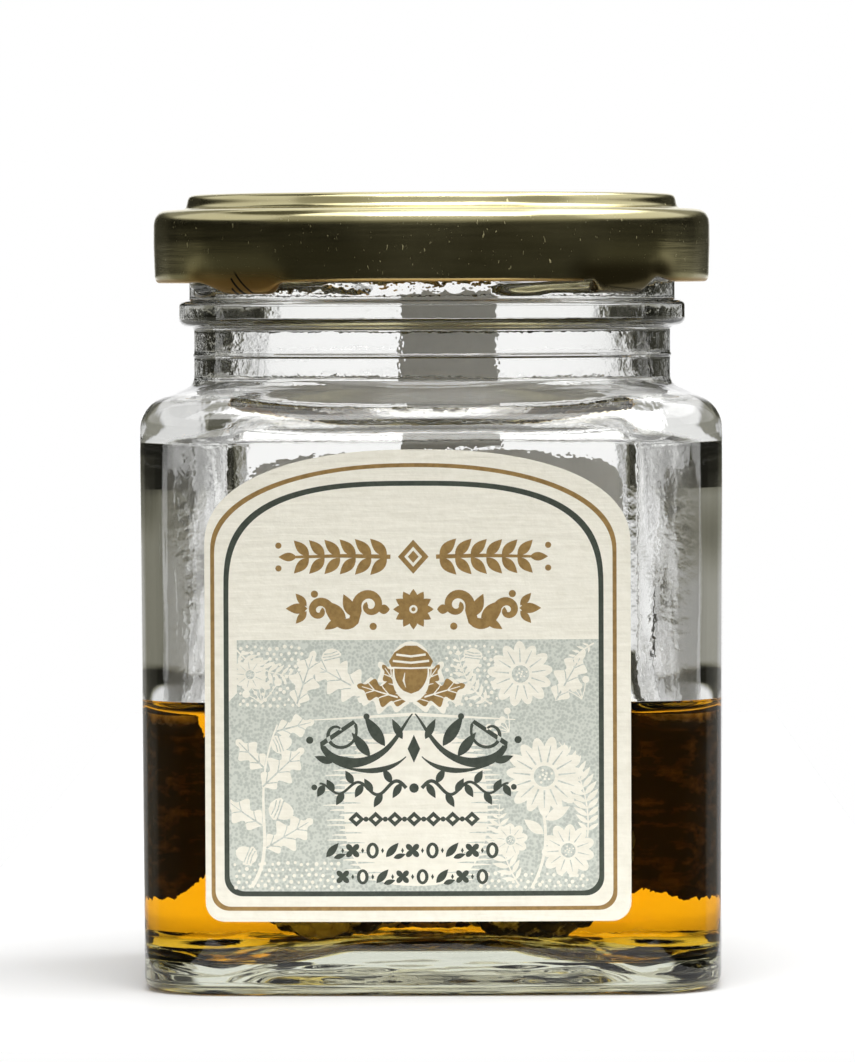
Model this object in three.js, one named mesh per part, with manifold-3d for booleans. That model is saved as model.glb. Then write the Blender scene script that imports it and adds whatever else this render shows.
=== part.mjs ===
// A square 212 ml preserving jar with a 63 mm twist-off lid, holding three black truffles in brine.
// Millimetres, +Z up. The origin is the middle of the jar's footprint, on the surface that it stands on.
// -Y is the side that carries the front label.
import * as THREE from 'three';
import { mergeVertices } from 'three/addons/utils/BufferGeometryUtils.js';
import Module from 'manifold-3d';

const wasm = await Module();
wasm.setup();

// ---- driving dimensions -------------------------------------------------------------------
const BODY_HALF_TOP = 34.3;      // half width of the square body under the shoulder
const BODY_HALF_LOW = 34.0;      // half width just above the heel: the faces taper a little
const BODY_CORNER = 10;          // radius of the upright corners
const FACE_BULGE = 0.7;          // the faces are a little convex: the middle stands this far proud of their edges
const HEEL_Z = 3.4;              // where the heel runs into the upright faces
const BASE_FLAT_OUT = 31.4;      // the bearing ring on the underside
const BASE_FLAT_IN = 26.8;
const PUSH_UP = 2.0;             // hollow in the underside
const WALL = 2.5;                // glass, body
const INNER_CORNER = 9.5;        // radius of the upright corners inside, where the glass is thicker
const FLOOR_Z = 5.0;             // inside of the base
const SHOULDER_Z = 62.0;         // the body starts to round in here
const NECK_Z = 70.2;             // the shoulder ends at the neck
const NECK_R = 28.2;
const BEAD_R = 29.95;            // transfer bead round the neck
const BEAD_Z = 78.1;
const FINISH_R = 28.75;          // glass between bead and thread
const RIM_Z = 88.3;              // sealing lip
const BORE_R = 25.7;             // mouth

const THREADS = 4;
const THREAD_R = 30.6;
const THREAD_LEAD = 12.0;        // rise per full turn, right handed
const THREAD_START = 16.5;       // degrees to the right of the front
const THREAD_SPAN = 70;          // degrees
const THREAD_Z = 80.43;          // underside of a thread at its low end
const THREAD_H = 1.9;
const LUG_GAP = 0.3;             // a lug's top to the thread above it

const LID_R = 32.9;              // skirt, at the top
const LID_R_LOW = 32.7;          // skirt, at the curl
const LID_EDGE_Z = 81.7;         // lower edge of the skirt
const LID_LEDGE_Z = 90.3;        // ledge round the raised panel
const LID_TOP_Z = 92.1;          // rim of the raised panel
const LID_PANEL_R = 29.15;
const LID_SHEET = 0.6;
const LUG_TIP_R = 29.35;
const LUG_LOW_Z = 80.3;
const LUG_HALF = 7.5;            // degrees
const DENT = 1.05;               // the skirt is drawn in this far at a lug

const LABEL_GAP = 0.05, LABEL_T = 0.25;
const FRONT_LABEL = { x: -1.55, half: 24.35, low: 8.6, spring: 51.65, rise: 10.95, power: 2.3, corner: 2.2 };
const BACK_LABEL = { x: 0.9, half: 24.95, low: 7.6, high: 61.8, corner: 5.5 };
const STRIP_X = 1.95, STRIP_HALF = 6.4;

const BRINE_Z = 32.0;            // the level of the brine
const BRINE_GAP = 0.2;
const TRUFFLES = [
  { name: 'truffle_1', at: [-12.0, -8.2], size: [11.2, 11.2, 10.6], turn: 0.4, seed: 3 },
  { name: 'truffle_2', at: [11.7, -9.1], size: [10.9, 11.6, 11.0], turn: 1.9, seed: 11 },
  { name: 'truffle_3', at: [0.3, 13.6], size: [12.2, 10.8, 11.6], turn: 3.3, seed: 23 },
];

const GLASS = new THREE.MeshStandardMaterial({ color: 0xd9dccb, roughness: 0.06, metalness: 0, transparent: true, opacity: 0.35 });
const GOLD = new THREE.MeshStandardMaterial({ color: 0xb08a3c, roughness: 0.28, metalness: 1 });
const SEAL = new THREE.MeshStandardMaterial({ color: 0xe9e4d6, roughness: 0.6, metalness: 0 });
const PAPER = new THREE.MeshStandardMaterial({ color: 0xe6e2d4, roughness: 0.75, metalness: 0 });
const WHITE_PAPER = new THREE.MeshStandardMaterial({ color: 0xe4e0d6, roughness: 0.8, metalness: 0 });
const BRINE = new THREE.MeshStandardMaterial({ color: 0x3a210c, roughness: 0.05, metalness: 0 });
const TRUFFLE = new THREE.MeshStandardMaterial({ color: 0x2a211b, roughness: 0.9, metalness: 0 });

// ---- helpers ------------------------------------------------------------------------------
const rad = THREE.MathUtils.degToRad;
const lerp = THREE.MathUtils.lerp;
const smooth = (x) => { const t = THREE.MathUtils.clamp(x, 0, 1); return t * t * (3 - 2 * t); };

// Closed skin over rings of equal length. Each ring runs the same way round; the first and last
// rings are closed with a fan to their own middle.
function skin(rings, closed = false) {
  const n = rings[0].length, points = [], faces = [];
  rings.forEach((ring) => ring.forEach((p) => points.push(p[0], p[1], p[2])));
  const last = closed ? rings.length : rings.length - 1;
  for (let i = 0; i < last; i++) {
    const a = i * n, b = ((i + 1) % rings.length) * n;
    for (let j = 0; j < n; j++) {
      const k = (j + 1) % n;
      faces.push(a + j, a + k, b + k, a + j, b + k, b + j);
    }
  }
  if (!closed) {
    [0, rings.length - 1].forEach((i) => {
      const mid = [0, 1, 2].map((c) => rings[i].reduce((s, p) => s + p[c], 0) / n);
      const m = points.length / 3;
      points.push(...mid);
      for (let j = 0; j < n; j++) {
        const k = (j + 1) % n;
        if (i === 0) faces.push(m, i * n + k, i * n + j); else faces.push(m, i * n + j, i * n + k);
      }
    });
  }
  const g = new THREE.BufferGeometry();
  g.setAttribute('position', new THREE.Float32BufferAttribute(points, 3));
  g.setIndex(faces);
  return outwards(g);
}

// Closed thin sheet between two equal grids of points.
function sheet(inner, outer) {
  const rows = inner.length, cols = inner[0].length, points = [], faces = [];
  [inner, outer].forEach((grid) => grid.forEach((row) => row.forEach((p) => points.push(p[0], p[1], p[2]))));
  const at = (s, i, j) => s * rows * cols + i * cols + j;
  const quad = (a, b, c, d) => faces.push(a, b, c, a, c, d);
  for (let i = 0; i + 1 < rows; i++) {
    for (let j = 0; j + 1 < cols; j++) {
      quad(at(0, i, j), at(0, i, j + 1), at(0, i + 1, j + 1), at(0, i + 1, j));
      quad(at(1, i, j), at(1, i + 1, j), at(1, i + 1, j + 1), at(1, i, j + 1));
    }
    quad(at(0, i, 0), at(0, i + 1, 0), at(1, i + 1, 0), at(1, i, 0));
    quad(at(0, i, cols - 1), at(1, i, cols - 1), at(1, i + 1, cols - 1), at(0, i + 1, cols - 1));
  }
  for (let j = 0; j + 1 < cols; j++) {
    quad(at(0, 0, j), at(1, 0, j), at(1, 0, j + 1), at(0, 0, j + 1));
    quad(at(0, rows - 1, j), at(0, rows - 1, j + 1), at(1, rows - 1, j + 1), at(1, rows - 1, j));
  }
  const g = new THREE.BufferGeometry();
  g.setAttribute('position', new THREE.Float32BufferAttribute(points, 3));
  g.setIndex(faces);
  return outwards(g);
}

function volume(g) {
  const p = g.attributes.position, ix = g.index.array;
  const a = new THREE.Vector3(), b = new THREE.Vector3(), c = new THREE.Vector3();
  let v = 0;
  for (let i = 0; i < ix.length; i += 3) {
    a.fromBufferAttribute(p, ix[i]); b.fromBufferAttribute(p, ix[i + 1]); c.fromBufferAttribute(p, ix[i + 2]);
    v += a.dot(b.cross(c)) / 6;
  }
  return v;
}

function outwards(g) {
  if (volume(g) < 0) {
    const ix = g.index.array;
    for (let i = 0; i < ix.length; i += 3) [ix[i + 1], ix[i + 2]] = [ix[i + 2], ix[i + 1]];
  }
  return g;
}

function solid(g) {
  let m = g.clone();
  m.deleteAttribute('normal'); m.deleteAttribute('uv');
  m = mergeVertices(m, 1e-4);
  return new wasm.Manifold(new wasm.Mesh({
    numProp: 3,
    vertProperties: new Float32Array(m.attributes.position.array),
    triVerts: new Uint32Array(m.index.array),
  }));
}

function geometry(manifold) {
  const m = manifold.getMesh();
  const g = new THREE.BufferGeometry();
  g.setAttribute('position', new THREE.Float32BufferAttribute(Array.from(m.vertProperties), 3));
  g.setIndex(Array.from(m.triVerts));
  return g;
}

// Polar angles of the columns of a ring, close together at the four corners.
const ARC = 6, FLAT = 4;
const ANGLES = (() => {
  const { c, span, lean } = crossSection(BODY_HALF_TOP, BODY_CORNER), out = [];
  const edge = Math.atan2(span, BODY_HALF_TOP - FACE_BULGE);
  for (let q = 0; q < 4; q++) {
    for (let i = 0; i < FLAT; i++) out.push(q * Math.PI / 2 + edge * i / FLAT);
    for (let i = 0; i < ARC; i++) {
      const t = lean + (Math.PI / 2 - 2 * lean) * i / ARC;
      out.push(q * Math.PI / 2 + Math.atan2(c + BODY_CORNER * Math.sin(t), c + BODY_CORNER * Math.cos(t)));
    }
    for (let i = 0; i < FLAT; i++) out.push((q + 1) * Math.PI / 2 - edge * (FLAT - i) / FLAT);
  }
  return out;
})();

// A square with slightly convex sides and round corners: the corner's centre (c, c), half the
// length of a side between the corners, and how far the side leans where it meets the corner.
function crossSection(half, corner) {
  const bulge = FACE_BULGE * Math.min(1, half / BODY_HALF_TOP);
  let span = half - corner, lean = 0;
  for (let i = 0; i < 20; i++) {
    lean = Math.atan2(2 * bulge, span);
    span = half - bulge - corner * Math.cos(lean) + corner * Math.sin(lean);
  }
  return { bulge, span, lean, c: half - bulge - corner * Math.cos(lean) };
}

// Distance from the axis to that outline at a polar angle.
function squareR(half, corner, angle) {
  let a = Math.abs(((angle % (Math.PI / 2)) + Math.PI / 2) % (Math.PI / 2));
  if (a > Math.PI / 4) a = Math.PI / 2 - a;
  const { bulge, span, c } = crossSection(half, corner);
  const t = Math.tan(a);
  if (t * (half - bulge) <= span + 1e-9) {
    const k = bulge * t * t / (span * span);   // y = half - k y^2 along the ray
    const y = k > 1e-12 ? (-1 + Math.sqrt(1 + 4 * k * half)) / (2 * k) : half;
    return y / Math.cos(a);
  }
  const u = c * (Math.cos(a) + Math.sin(a));
  return u + Math.sqrt(Math.max(0, u * u - 2 * c * c + corner * corner));
}
// How far a face has fallen back at a distance x from its middle.
const fall = (x) => { const { bulge, span } = crossSection(BODY_HALF_TOP, BODY_CORNER); return bulge * (x / span) ** 2; };

// One ring of the jar: round is 0 on the square body and 1 on the neck; lift raises the corners.
function ring(z, half, corner, round = 0, r = 0, lift = 0) {
  return ANGLES.map((a) => {
    const s = half > 0 ? squareR(half, Math.min(corner, half), a) : 0;
    const R = lerp(s, r, round);
    const k = half > 0 ? smooth((s - half) / (squareR(half, Math.min(corner, half), Math.PI / 4) - half + 1e-6)) : 0;
    return [R * Math.cos(a), R * Math.sin(a), z + lift * k];
  });
}
const disc = (z, r) => ring(z, 0, 0, 1, r);
const bodyHalf = (z) => lerp(BODY_HALF_LOW, BODY_HALF_TOP, THREE.MathUtils.clamp((z - HEEL_Z) / (SHOULDER_Z - HEEL_Z), 0, 1));

// ---- the glass jar ------------------------------------------------------------------------
function jarGeometry() {
  const rings = [];
  const H = BODY_HALF_TOP, C = BODY_CORNER;
  // underside, from the middle outwards
  rings.push(ring(PUSH_UP, 10, 6), ring(PUSH_UP * 0.82, 19, 8), ring(PUSH_UP * 0.25, 25.2, 8));
  rings.push(ring(0, BASE_FLAT_IN, 7.2), ring(0, BASE_FLAT_OUT, 8.4));
  // heel
  [[32.3, 0.45], [33.2, 1.2], [33.75, 2.2]].forEach(([h, z]) => rings.push(ring(z, h, 9)));
  rings.push(ring(HEEL_Z, BODY_HALF_LOW, C));
  // body and shoulder: how far the ring has closed on the neck, and its height at a face
  rings.push(ring(SHOULDER_Z, H, C));
  [[0.03, 64.0, 0.35], [0.09, 65.4, 0.8], [0.19, 66.6, 1.0], [0.33, 67.5, 0.9], [0.52, 68.2, 0.7], [0.74, 68.85, 0.4], [0.92, 69.4, 0.15]]
    .forEach(([k, z, lift]) => rings.push(ring(z, H, C, k, NECK_R, lift)));
  // neck, transfer bead, finish and lip
  [[NECK_R, NECK_Z], [NECK_R, 76.2], [28.6, 76.6], [29.7, 77.0], [BEAD_R, 77.6], [BEAD_R, 78.6], [29.6, 79.2], [FINISH_R, 79.6],
    [FINISH_R, 86.2], [29.0, 87.0], [28.85, 87.8], [28.3, RIM_Z], [26.9, RIM_Z], [26.1, 87.9], [BORE_R, 87.0]]
    .forEach(([r, z]) => rings.push(disc(z, r)));
  // inside: bore, shoulder, walls and floor
  rings.push(disc(69.4, BORE_R));
  [[0.86, 67.3, 0.2], [0.55, 66.1, 0.5], [0.25, 64.7, 0.7], [0.08, 62.6, 0.5]]
    .forEach(([k, z, lift]) => rings.push(ring(z, H - WALL, INNER_CORNER, k, BORE_R, lift)));
  rings.push(ring(59.5, H - WALL, INNER_CORNER), ring(11.0, BODY_HALF_LOW + 0.05 - WALL, INNER_CORNER));
  [[31.0, 8.2], [29.7, 6.3], [27.2, 5.2]].forEach(([h, z]) => rings.push(ring(z, h, INNER_CORNER - 0.8)));
  rings.push(ring(FLOOR_Z, 22, 6));
  return skin(rings);
}

const threadLow = (deg) => THREAD_Z + (deg - THREAD_START) * THREAD_LEAD / 360;

// One thread: a half round ridge that climbs to the right and fades into the glass at both ends.
function threadGeometry(index) {
  const steps = 18, rings = [];
  for (let i = 0; i <= steps; i++) {
    const f = i / steps, deg = THREAD_START + THREAD_SPAN * f;
    const a = rad(deg + index * 90 - 90);
    const fade = Math.sqrt(Math.max(0, 1 - Math.pow(Math.abs(2 * f - 1), 7)));
    const out = lerp(FINISH_R - 0.35, THREAD_R, fade);
    const h = THREAD_H * lerp(0.45, 1, fade), mid = threadLow(deg) + THREAD_H / 2;
    const section = [[27.9, -0.5], [FINISH_R - 0.4, -0.5], [lerp(FINISH_R - 0.4, out, 0.8), -0.33], [out, 0], [lerp(FINISH_R - 0.4, out, 0.8), 0.33], [FINISH_R - 0.4, 0.5], [27.9, 0.5]];
    rings.push(section.map(([r, t]) => [r * Math.cos(a), r * Math.sin(a), mid + t * h]));
  }
  return skin(rings);
}

let jar = solid(jarGeometry());
for (let i = 0; i < THREADS; i++) jar = jar.add(solid(threadGeometry(i)));
const jarShape = geometry(jar);

// ---- the twist-off lid --------------------------------------------------------------------
const LID_COLUMNS = [0, 7.5, 15, 22.5, 29, 33, 35.5, 37.5, 41.2, 45, 48.8, 52.5, 54.5, 57, 61, 67.5, 75, 82.5];

function lidGeometry() {
  const columns = [];
  for (let q = 0; q < 4; q++) LID_COLUMNS.forEach((d) => columns.push([q * 90 + d, d - 45]));
  const T = LID_SHEET;
  // outer face from the middle to the curl, then the inner face back again; [r, z, kind]
  const profile = [
    [9.2, 91.75], [10.6, 91.4], [24.0, 91.4], [25.2, LID_TOP_Z], [28.3, LID_TOP_Z], [28.95, 91.75], [LID_PANEL_R, 91.0], [29.6, LID_LEDGE_Z],
    [31.5, LID_LEDGE_Z], [32.4, 89.95], [LID_R - 0.03, 89.0], [LID_R - 0.02, 86.4, 'skirt'], [LID_R - 0.1, 84.4, 'skirt'], [LID_R_LOW, 82.9, 'skirt'],
    [LID_R_LOW + 0.1, 82.2, 'curl', 31.65, 81.3], [32.4, LID_EDGE_Z, 'curl', 31.2, LUG_LOW_Z + 0.03], [31.95, 81.75, 'curl', 29.55, LUG_LOW_Z],
    [31.8, 82.1, 'top', LUG_TIP_R, 0], [31.95, 82.5, 'top', 30.85, 0], [LID_R_LOW - T, 83.0, 'skirt'],
    [LID_R - 0.1 - T, 84.4, 'skirt'], [LID_R - 0.02 - T, 86.4, 'skirt'], [LID_R - 0.03 - T, 88.9], [31.9, 89.5], [31.4, LID_LEDGE_Z - T],
    [29.05, LID_LEDGE_Z - T], [28.5, 90.6], [28.3, LID_TOP_Z - T - 0.05], [25.5, LID_TOP_Z - T], [24.3, 91.4 - T], [10.9, 91.4 - T], [9.4, 91.75 - T],
  ];
  const rings = profile.map(([r, z, kind, lugR, lugZ]) => columns.map(([deg, d]) => {
    const near = Math.abs(d);
    const dent = DENT * smooth((15 - near) / 11);
    const lug = smooth((9.6 - near) / 2.1);
    let R = r, Z = z;
    if (kind === 'skirt') R = r - dent * smooth((84.9 - z) / 2.2);
    if (kind === 'curl' || kind === 'top') {
      const low = kind === 'top' ? threadLow(deg % 90) - LUG_GAP : lugZ;
      R = lerp(r - dent * 0.95, lugR, lug);
      Z = lerp(z - 0.35 * smooth((14 - near) / 6), low, lug);
    }
    const a = rad(deg - 90);
    return [R * Math.cos(a), R * Math.sin(a), Z];
  }));
  return skin(rings);
}

// ---- the sealing ring inside the lid ------------------------------------------------------
function gasketGeometry() {
  const outline = [[27.4, 88.45], [31.1, 88.45], [31.25, 89.55], [28.75, 89.6], [28.15, 90.5], [27.4, 90.6], [27.4, 88.45]];
  const g = new THREE.LatheGeometry(outline.map(([r, z]) => new THREE.Vector2(r, z)), 48);
  g.rotateX(Math.PI / 2);   // the lathe turns round Y; stand it on Z
  g.deleteAttribute('normal'); g.deleteAttribute('uv');
  return outwards(mergeVertices(g, 1e-4));
}

// ---- paper --------------------------------------------------------------------------------
// A label is a sheet over columns in x, each running from its lower to its upper edge, wrapped on
// the front (side -1) or back (side +1) face.
function labelGeometry({ x: mid, half, corner }, bottom, top, side) {
  const cuts = [0, 0.15, 0.35, 0.65, 1].map((f) => corner * (1 - Math.cos(f * Math.PI / 2)));
  const columns = [...cuts];
  const rest = 14;
  for (let i = 1; i < rest; i++) columns.push(corner + (2 * half - 2 * corner) * i / rest);
  cuts.reverse().forEach((c) => columns.push(2 * half - c));
  const rows = 5, inner = [], outer = [];
  columns.forEach((u) => {
    const x = mid - half + u, low = bottom(x), high = Math.max(top(x), low + 0.02);
    const line = (t) => Array.from({ length: rows + 1 }, (_, j) => {
      const z = lerp(low, high, j / rows);
      return [x, side * (bodyHalf(z) - fall(x) + LABEL_GAP + t), z];
    });
    inner.push(line(0));
    outer.push(line(LABEL_T));
  });
  return sheet(inner, outer);
}
// The edge of a corner of radius r, measured in from a straight edge, at a distance d from the side.
const roundIn = (d, r) => (d >= r ? 0 : r - Math.sqrt(Math.max(0, r * r - (r - d) * (r - d))));
const frontBottom = (x) => FRONT_LABEL.low + roundIn(FRONT_LABEL.half - Math.abs(x - FRONT_LABEL.x), FRONT_LABEL.corner);
const frontTop = (x) => FRONT_LABEL.spring + FRONT_LABEL.rise * Math.max(0, 1 - Math.abs((x - FRONT_LABEL.x) / FRONT_LABEL.half) ** FRONT_LABEL.power) ** (1 / FRONT_LABEL.power);
const backBottom = (x) => BACK_LABEL.low + roundIn(BACK_LABEL.half - Math.abs(x - BACK_LABEL.x), BACK_LABEL.corner);
const backTop = (x) => BACK_LABEL.high - roundIn(BACK_LABEL.half - Math.abs(x - BACK_LABEL.x), BACK_LABEL.corner);

// The guarantee strip bridges the neck at the back, from just under the lid to the top of the back label.
function stripGeometry() {
  const path = [[33.12, 80.95], [33.2, 76.0], [33.42, 70.0], [BODY_HALF_TOP + 0.05, 65.2], [BODY_HALF_TOP + 0.05, 62.15]];
  const across = 6, inner = [], outer = [];
  for (let j = 0; j <= across; j++) {
    const x = STRIP_X + lerp(-STRIP_HALF, STRIP_HALF, j / across);
    inner.push(path.map(([y, z]) => [x, bow(y, z, x), z]));
    outer.push(path.map(([y, z]) => [x, bow(y, z, x) + 0.22, z]));
  }
  return sheet(inner, outer);
}
// The top of the strip still follows the round of the lid.
function bow(y, z, x) {
  const round = Math.sqrt((LID_R + 0.3) ** 2 - x * x);
  return lerp(y, Math.min(y, round), smooth((z - 68) / 12));
}

// The torn upper end of the strip, stuck to the lid: up the skirt, over the ledge and on to the raised panel.
function lidStripGeometry() {
  const face = [[32.86, 82.95], [32.88, 84.4], [LID_R, 86.4], [LID_R, 89.0], [32.45, 89.98], [31.5, 90.34], [29.8, 90.34], [29.25, 90.9], [29.0, 91.8], [28.35, 92.14], [25.4, 92.14]];
  const t = 0.2, gap = 0.06, n = face.length, across = 6;
  const off = (d) => face.map(([r, z], i) => {
    const a = face[Math.max(0, i - 1)], b = face[Math.min(n - 1, i + 1)];
    const dr = b[0] - a[0], dz = b[1] - a[1], l = Math.hypot(dr, dz);
    return [r + (dz / l) * d, z - (dr / l) * d];
  });
  const grid = (d) => Array.from({ length: across + 1 }, (_, j) => {
    const x = STRIP_X + lerp(-STRIP_HALF, STRIP_HALF, j / across);
    return off(d).map(([r, z]) => [x, Math.sqrt(r * r - x * x), z]);
  });
  return sheet(grid(gap), grid(gap + t));
}

// ---- the truffles -------------------------------------------------------------------------
// Rough lobed tubers, each settled on the floor of the jar.
function truffleGeometry({ at, size, turn, seed }, grow = 0, detail = 5) {
  const g0 = new THREE.IcosahedronGeometry(1, detail);
  g0.deleteAttribute('normal'); g0.deleteAttribute('uv');
  const g = mergeVertices(g0, 1e-4), p = g.attributes.position, v = new THREE.Vector3();
  const c = Math.cos(turn), s = Math.sin(turn);
  let lowest = Infinity;
  const out = [];
  for (let i = 0; i < p.count; i++) {
    v.fromBufferAttribute(p, i).normalize();
    const lobes = 0.045 * Math.sin(3.1 * v.x + seed) * Math.cos(2.7 * v.y - seed) + 0.035 * Math.sin(5.3 * v.z + 4.1 * v.x + seed * 0.7)
      + 0.02 * Math.sin(8.9 * v.y - 7.3 * v.z + seed * 1.3);
    const k = 1 + lobes;
    const x = v.x * size[0] * k, y = v.y * size[1] * k, z = Math.max(v.z * size[2] * k, -size[2] * 0.93);
    const q = [x * c - y * s, x * s + y * c, z];
    lowest = Math.min(lowest, q[2]);
    out.push([q, v.clone()]);
  }
  out.forEach(([q, n], i) => {
    const l = Math.hypot(...q) || 1;
    const f = 1 + grow / l;
    p.setXYZ(i, at[0] + q[0] * f, at[1] + q[1] * f, FLOOR_Z + 0.12 - lowest + q[2] * (grow && q[2] < 0 ? 1.12 : f));
  });
  return outwards(g);
}

// ---- the brine ----------------------------------------------------------------------------
function brineGeometry() {
  const g = BRINE_GAP, c = INNER_CORNER;
  const low = BODY_HALF_LOW + 0.05 - WALL - g;
  const rings = [
    ring(FLOOR_Z + g, 22 - g, 6), ring(5.2 + g, 27.2 - g, c - 0.8), ring(6.3 + g, 29.7 - g, c - 0.8), ring(8.2 + g, 31.0 - g, c - 0.8),
    ring(11.0 + g, low - 0.02, c), ring(BRINE_Z, low + 0.1, c),
  ];
  let b = solid(skin(rings));
  TRUFFLES.forEach((t) => { b = b.subtract(solid(truffleGeometry(t, 0.45, 4))); });
  return geometry(b);
}

// ---- the assembly -------------------------------------------------------------------------
function piece(name, g, material) {
  const m = new THREE.Mesh(g, material);
  m.name = name;
  return m;
}

const part = new THREE.Group();
const jarGroup = new THREE.Group();
jarGroup.add(piece('glass_jar', jarShape, GLASS));
jarGroup.add(piece('front_label', labelGeometry(FRONT_LABEL, frontBottom, frontTop, -1), PAPER));
jarGroup.add(piece('back_label', labelGeometry(BACK_LABEL, backBottom, backTop, 1), WHITE_PAPER));
jarGroup.add(piece('seal_strip', stripGeometry(), WHITE_PAPER));
jarGroup.add(piece('brine', brineGeometry(), BRINE));
TRUFFLES.forEach((t) => jarGroup.add(piece(t.name, truffleGeometry(t), TRUFFLE)));
const lidGroup = new THREE.Group();
lidGroup.add(piece('twist_off_lid', lidGeometry(), GOLD));
lidGroup.add(piece('lid_gasket', gasketGeometry(), SEAL));
lidGroup.add(piece('seal_strip_lid_end', lidStripGeometry(), WHITE_PAPER));
part.add(jarGroup, lidGroup);

export default part;
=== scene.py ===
import math

import bpy
import numpy as np
from mathutils import Matrix, Vector, geometry, noise


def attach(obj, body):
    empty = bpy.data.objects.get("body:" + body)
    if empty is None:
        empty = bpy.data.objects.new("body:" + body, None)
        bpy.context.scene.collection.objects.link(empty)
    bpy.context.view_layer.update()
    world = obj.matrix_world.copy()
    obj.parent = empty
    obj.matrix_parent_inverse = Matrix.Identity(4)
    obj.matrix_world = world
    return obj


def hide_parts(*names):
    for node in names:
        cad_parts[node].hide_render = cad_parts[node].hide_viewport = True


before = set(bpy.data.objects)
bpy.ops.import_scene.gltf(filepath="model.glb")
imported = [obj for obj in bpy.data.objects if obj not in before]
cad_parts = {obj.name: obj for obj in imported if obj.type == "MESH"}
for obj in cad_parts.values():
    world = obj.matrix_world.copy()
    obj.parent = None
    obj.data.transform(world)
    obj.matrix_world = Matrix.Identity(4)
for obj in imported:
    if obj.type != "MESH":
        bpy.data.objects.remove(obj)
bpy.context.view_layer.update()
MM = 0.001
scene = bpy.context.scene

# ------------------------------------------------------------------ camera
F_PX = 8027.0          # focal length in pixels of the 855 x 1062 frame
DIST = 950.0
EYE_Z = 79.4
AZIMUTH = 0.35         # degrees round the jar, towards its right
ROLL = 0.20

cam_data = bpy.data.cameras.new("camera")
cam_data.sensor_width = 36.0
cam_data.lens = F_PX * 36.0 / 1062.0
cam_data.clip_start, cam_data.clip_end = 0.05, 50.0
cam = bpy.data.objects.new("camera", cam_data)
scene.collection.objects.link(cam)
scene.camera = cam
az = math.radians(AZIMUTH)
eye = Vector((math.sin(az) * DIST, -math.cos(az) * DIST, EYE_Z)) * MM
side = Vector((math.cos(az), math.sin(az), 0.0))
aim = side * (-0.61 * MM) + Vector((0.0, 0.0, 52.3 * MM))
back = (eye - aim).normalized()
right = Vector((0, 0, 1)).cross(back).normalized()
up = back.cross(right)
turn = Matrix((right, up, back)).transposed() @ Matrix.Rotation(math.radians(-ROLL), 3, "Z")
cam.matrix_world = Matrix.Translation(eye) @ turn.to_4x4()

# ------------------------------------------------------------------ sizes, in millimetres
BODY_HALF_TOP, BODY_HALF_LOW, BODY_CORNER, BULGE = 34.3, 34.0, 10.0, 0.7
WALL, INNER_CORNER, FLOOR_Z = 2.5, 10.6, 5.0
NECK_R, FINISH_R, BORE_R = 28.2, 28.75, 25.7
THREAD_R, THREAD_LEAD, THREAD_START, THREAD_SPAN, THREAD_Z, THREAD_H = 30.6, 12.0, 16.5, 70.0, 80.43, 1.9
BRINE_Z = 32.0
RNG = np.random.default_rng(7)


def smooth(x):
    t = np.clip(x, 0.0, 1.0)
    return t * t * (3 - 2 * t)


def cross_section(half, corner):
    bulge = BULGE * min(1.0, half / BODY_HALF_TOP)
    span, lean = half - corner, 0.0
    for _ in range(20):
        lean = math.atan2(2 * bulge, max(span, 1e-6))
        span = half - bulge - corner * math.cos(lean) + corner * math.sin(lean)
    return bulge, span, lean, half - bulge - corner * math.cos(lean)


def square_r(half, corner, angle):
    """Distance from the axis to a square with slightly convex sides and round corners."""
    corner = min(corner, half * 0.98)
    a = np.mod(angle, np.pi / 2)
    a = np.where(a > np.pi / 4, np.pi / 2 - a, a)
    bulge, span, lean, c = cross_section(half, corner)
    t = np.tan(a)
    k = np.maximum(bulge * t * t / span**2, 1e-12)
    on_side = np.where(k > 1e-9, (-1 + np.sqrt(1 + 4 * k * half)) / (2 * k), half) / np.cos(a)
    u = c * (np.cos(a) + np.sin(a))
    on_corner = u + np.sqrt(np.maximum(0, u * u - 2 * c * c + corner * corner))
    return np.where(t * (half - bulge) <= span + 1e-9, on_side, on_corner)


_, SPAN, LEAN, CENTRE = cross_section(BODY_HALF_TOP, BODY_CORNER)


def fall(x):
    return BULGE * (x / SPAN) ** 2


def body_half(z):
    return BODY_HALF_LOW + (BODY_HALF_TOP - BODY_HALF_LOW) * np.clip((z - 3.4) / (62.0 - 3.4), 0, 1)


def inner_corner(z):
    """The corners of the inside are tighter low down, where the brine stands."""
    return INNER_CORNER - 3.1 * float(smooth(np.array((37.0 - z) / 8.0)))


def jar_angles(flat, arc):
    """Polar angles of the columns of a ring, close together at the corners."""
    edge = math.atan2(SPAN, BODY_HALF_TOP - BULGE)
    out = []
    for q in range(4):
        out += [q * np.pi / 2 + edge * i / flat for i in range(flat)]
        for i in range(arc):
            t = LEAN + (np.pi / 2 - 2 * LEAN) * i / arc
            out.append(q * np.pi / 2 + math.atan2(CENTRE + BODY_CORNER * math.sin(t), CENTRE + BODY_CORNER * math.cos(t)))
        out += [(q + 1) * np.pi / 2 - edge * (flat - i) / flat for i in range(flat)]
    return np.array(out)


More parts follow.
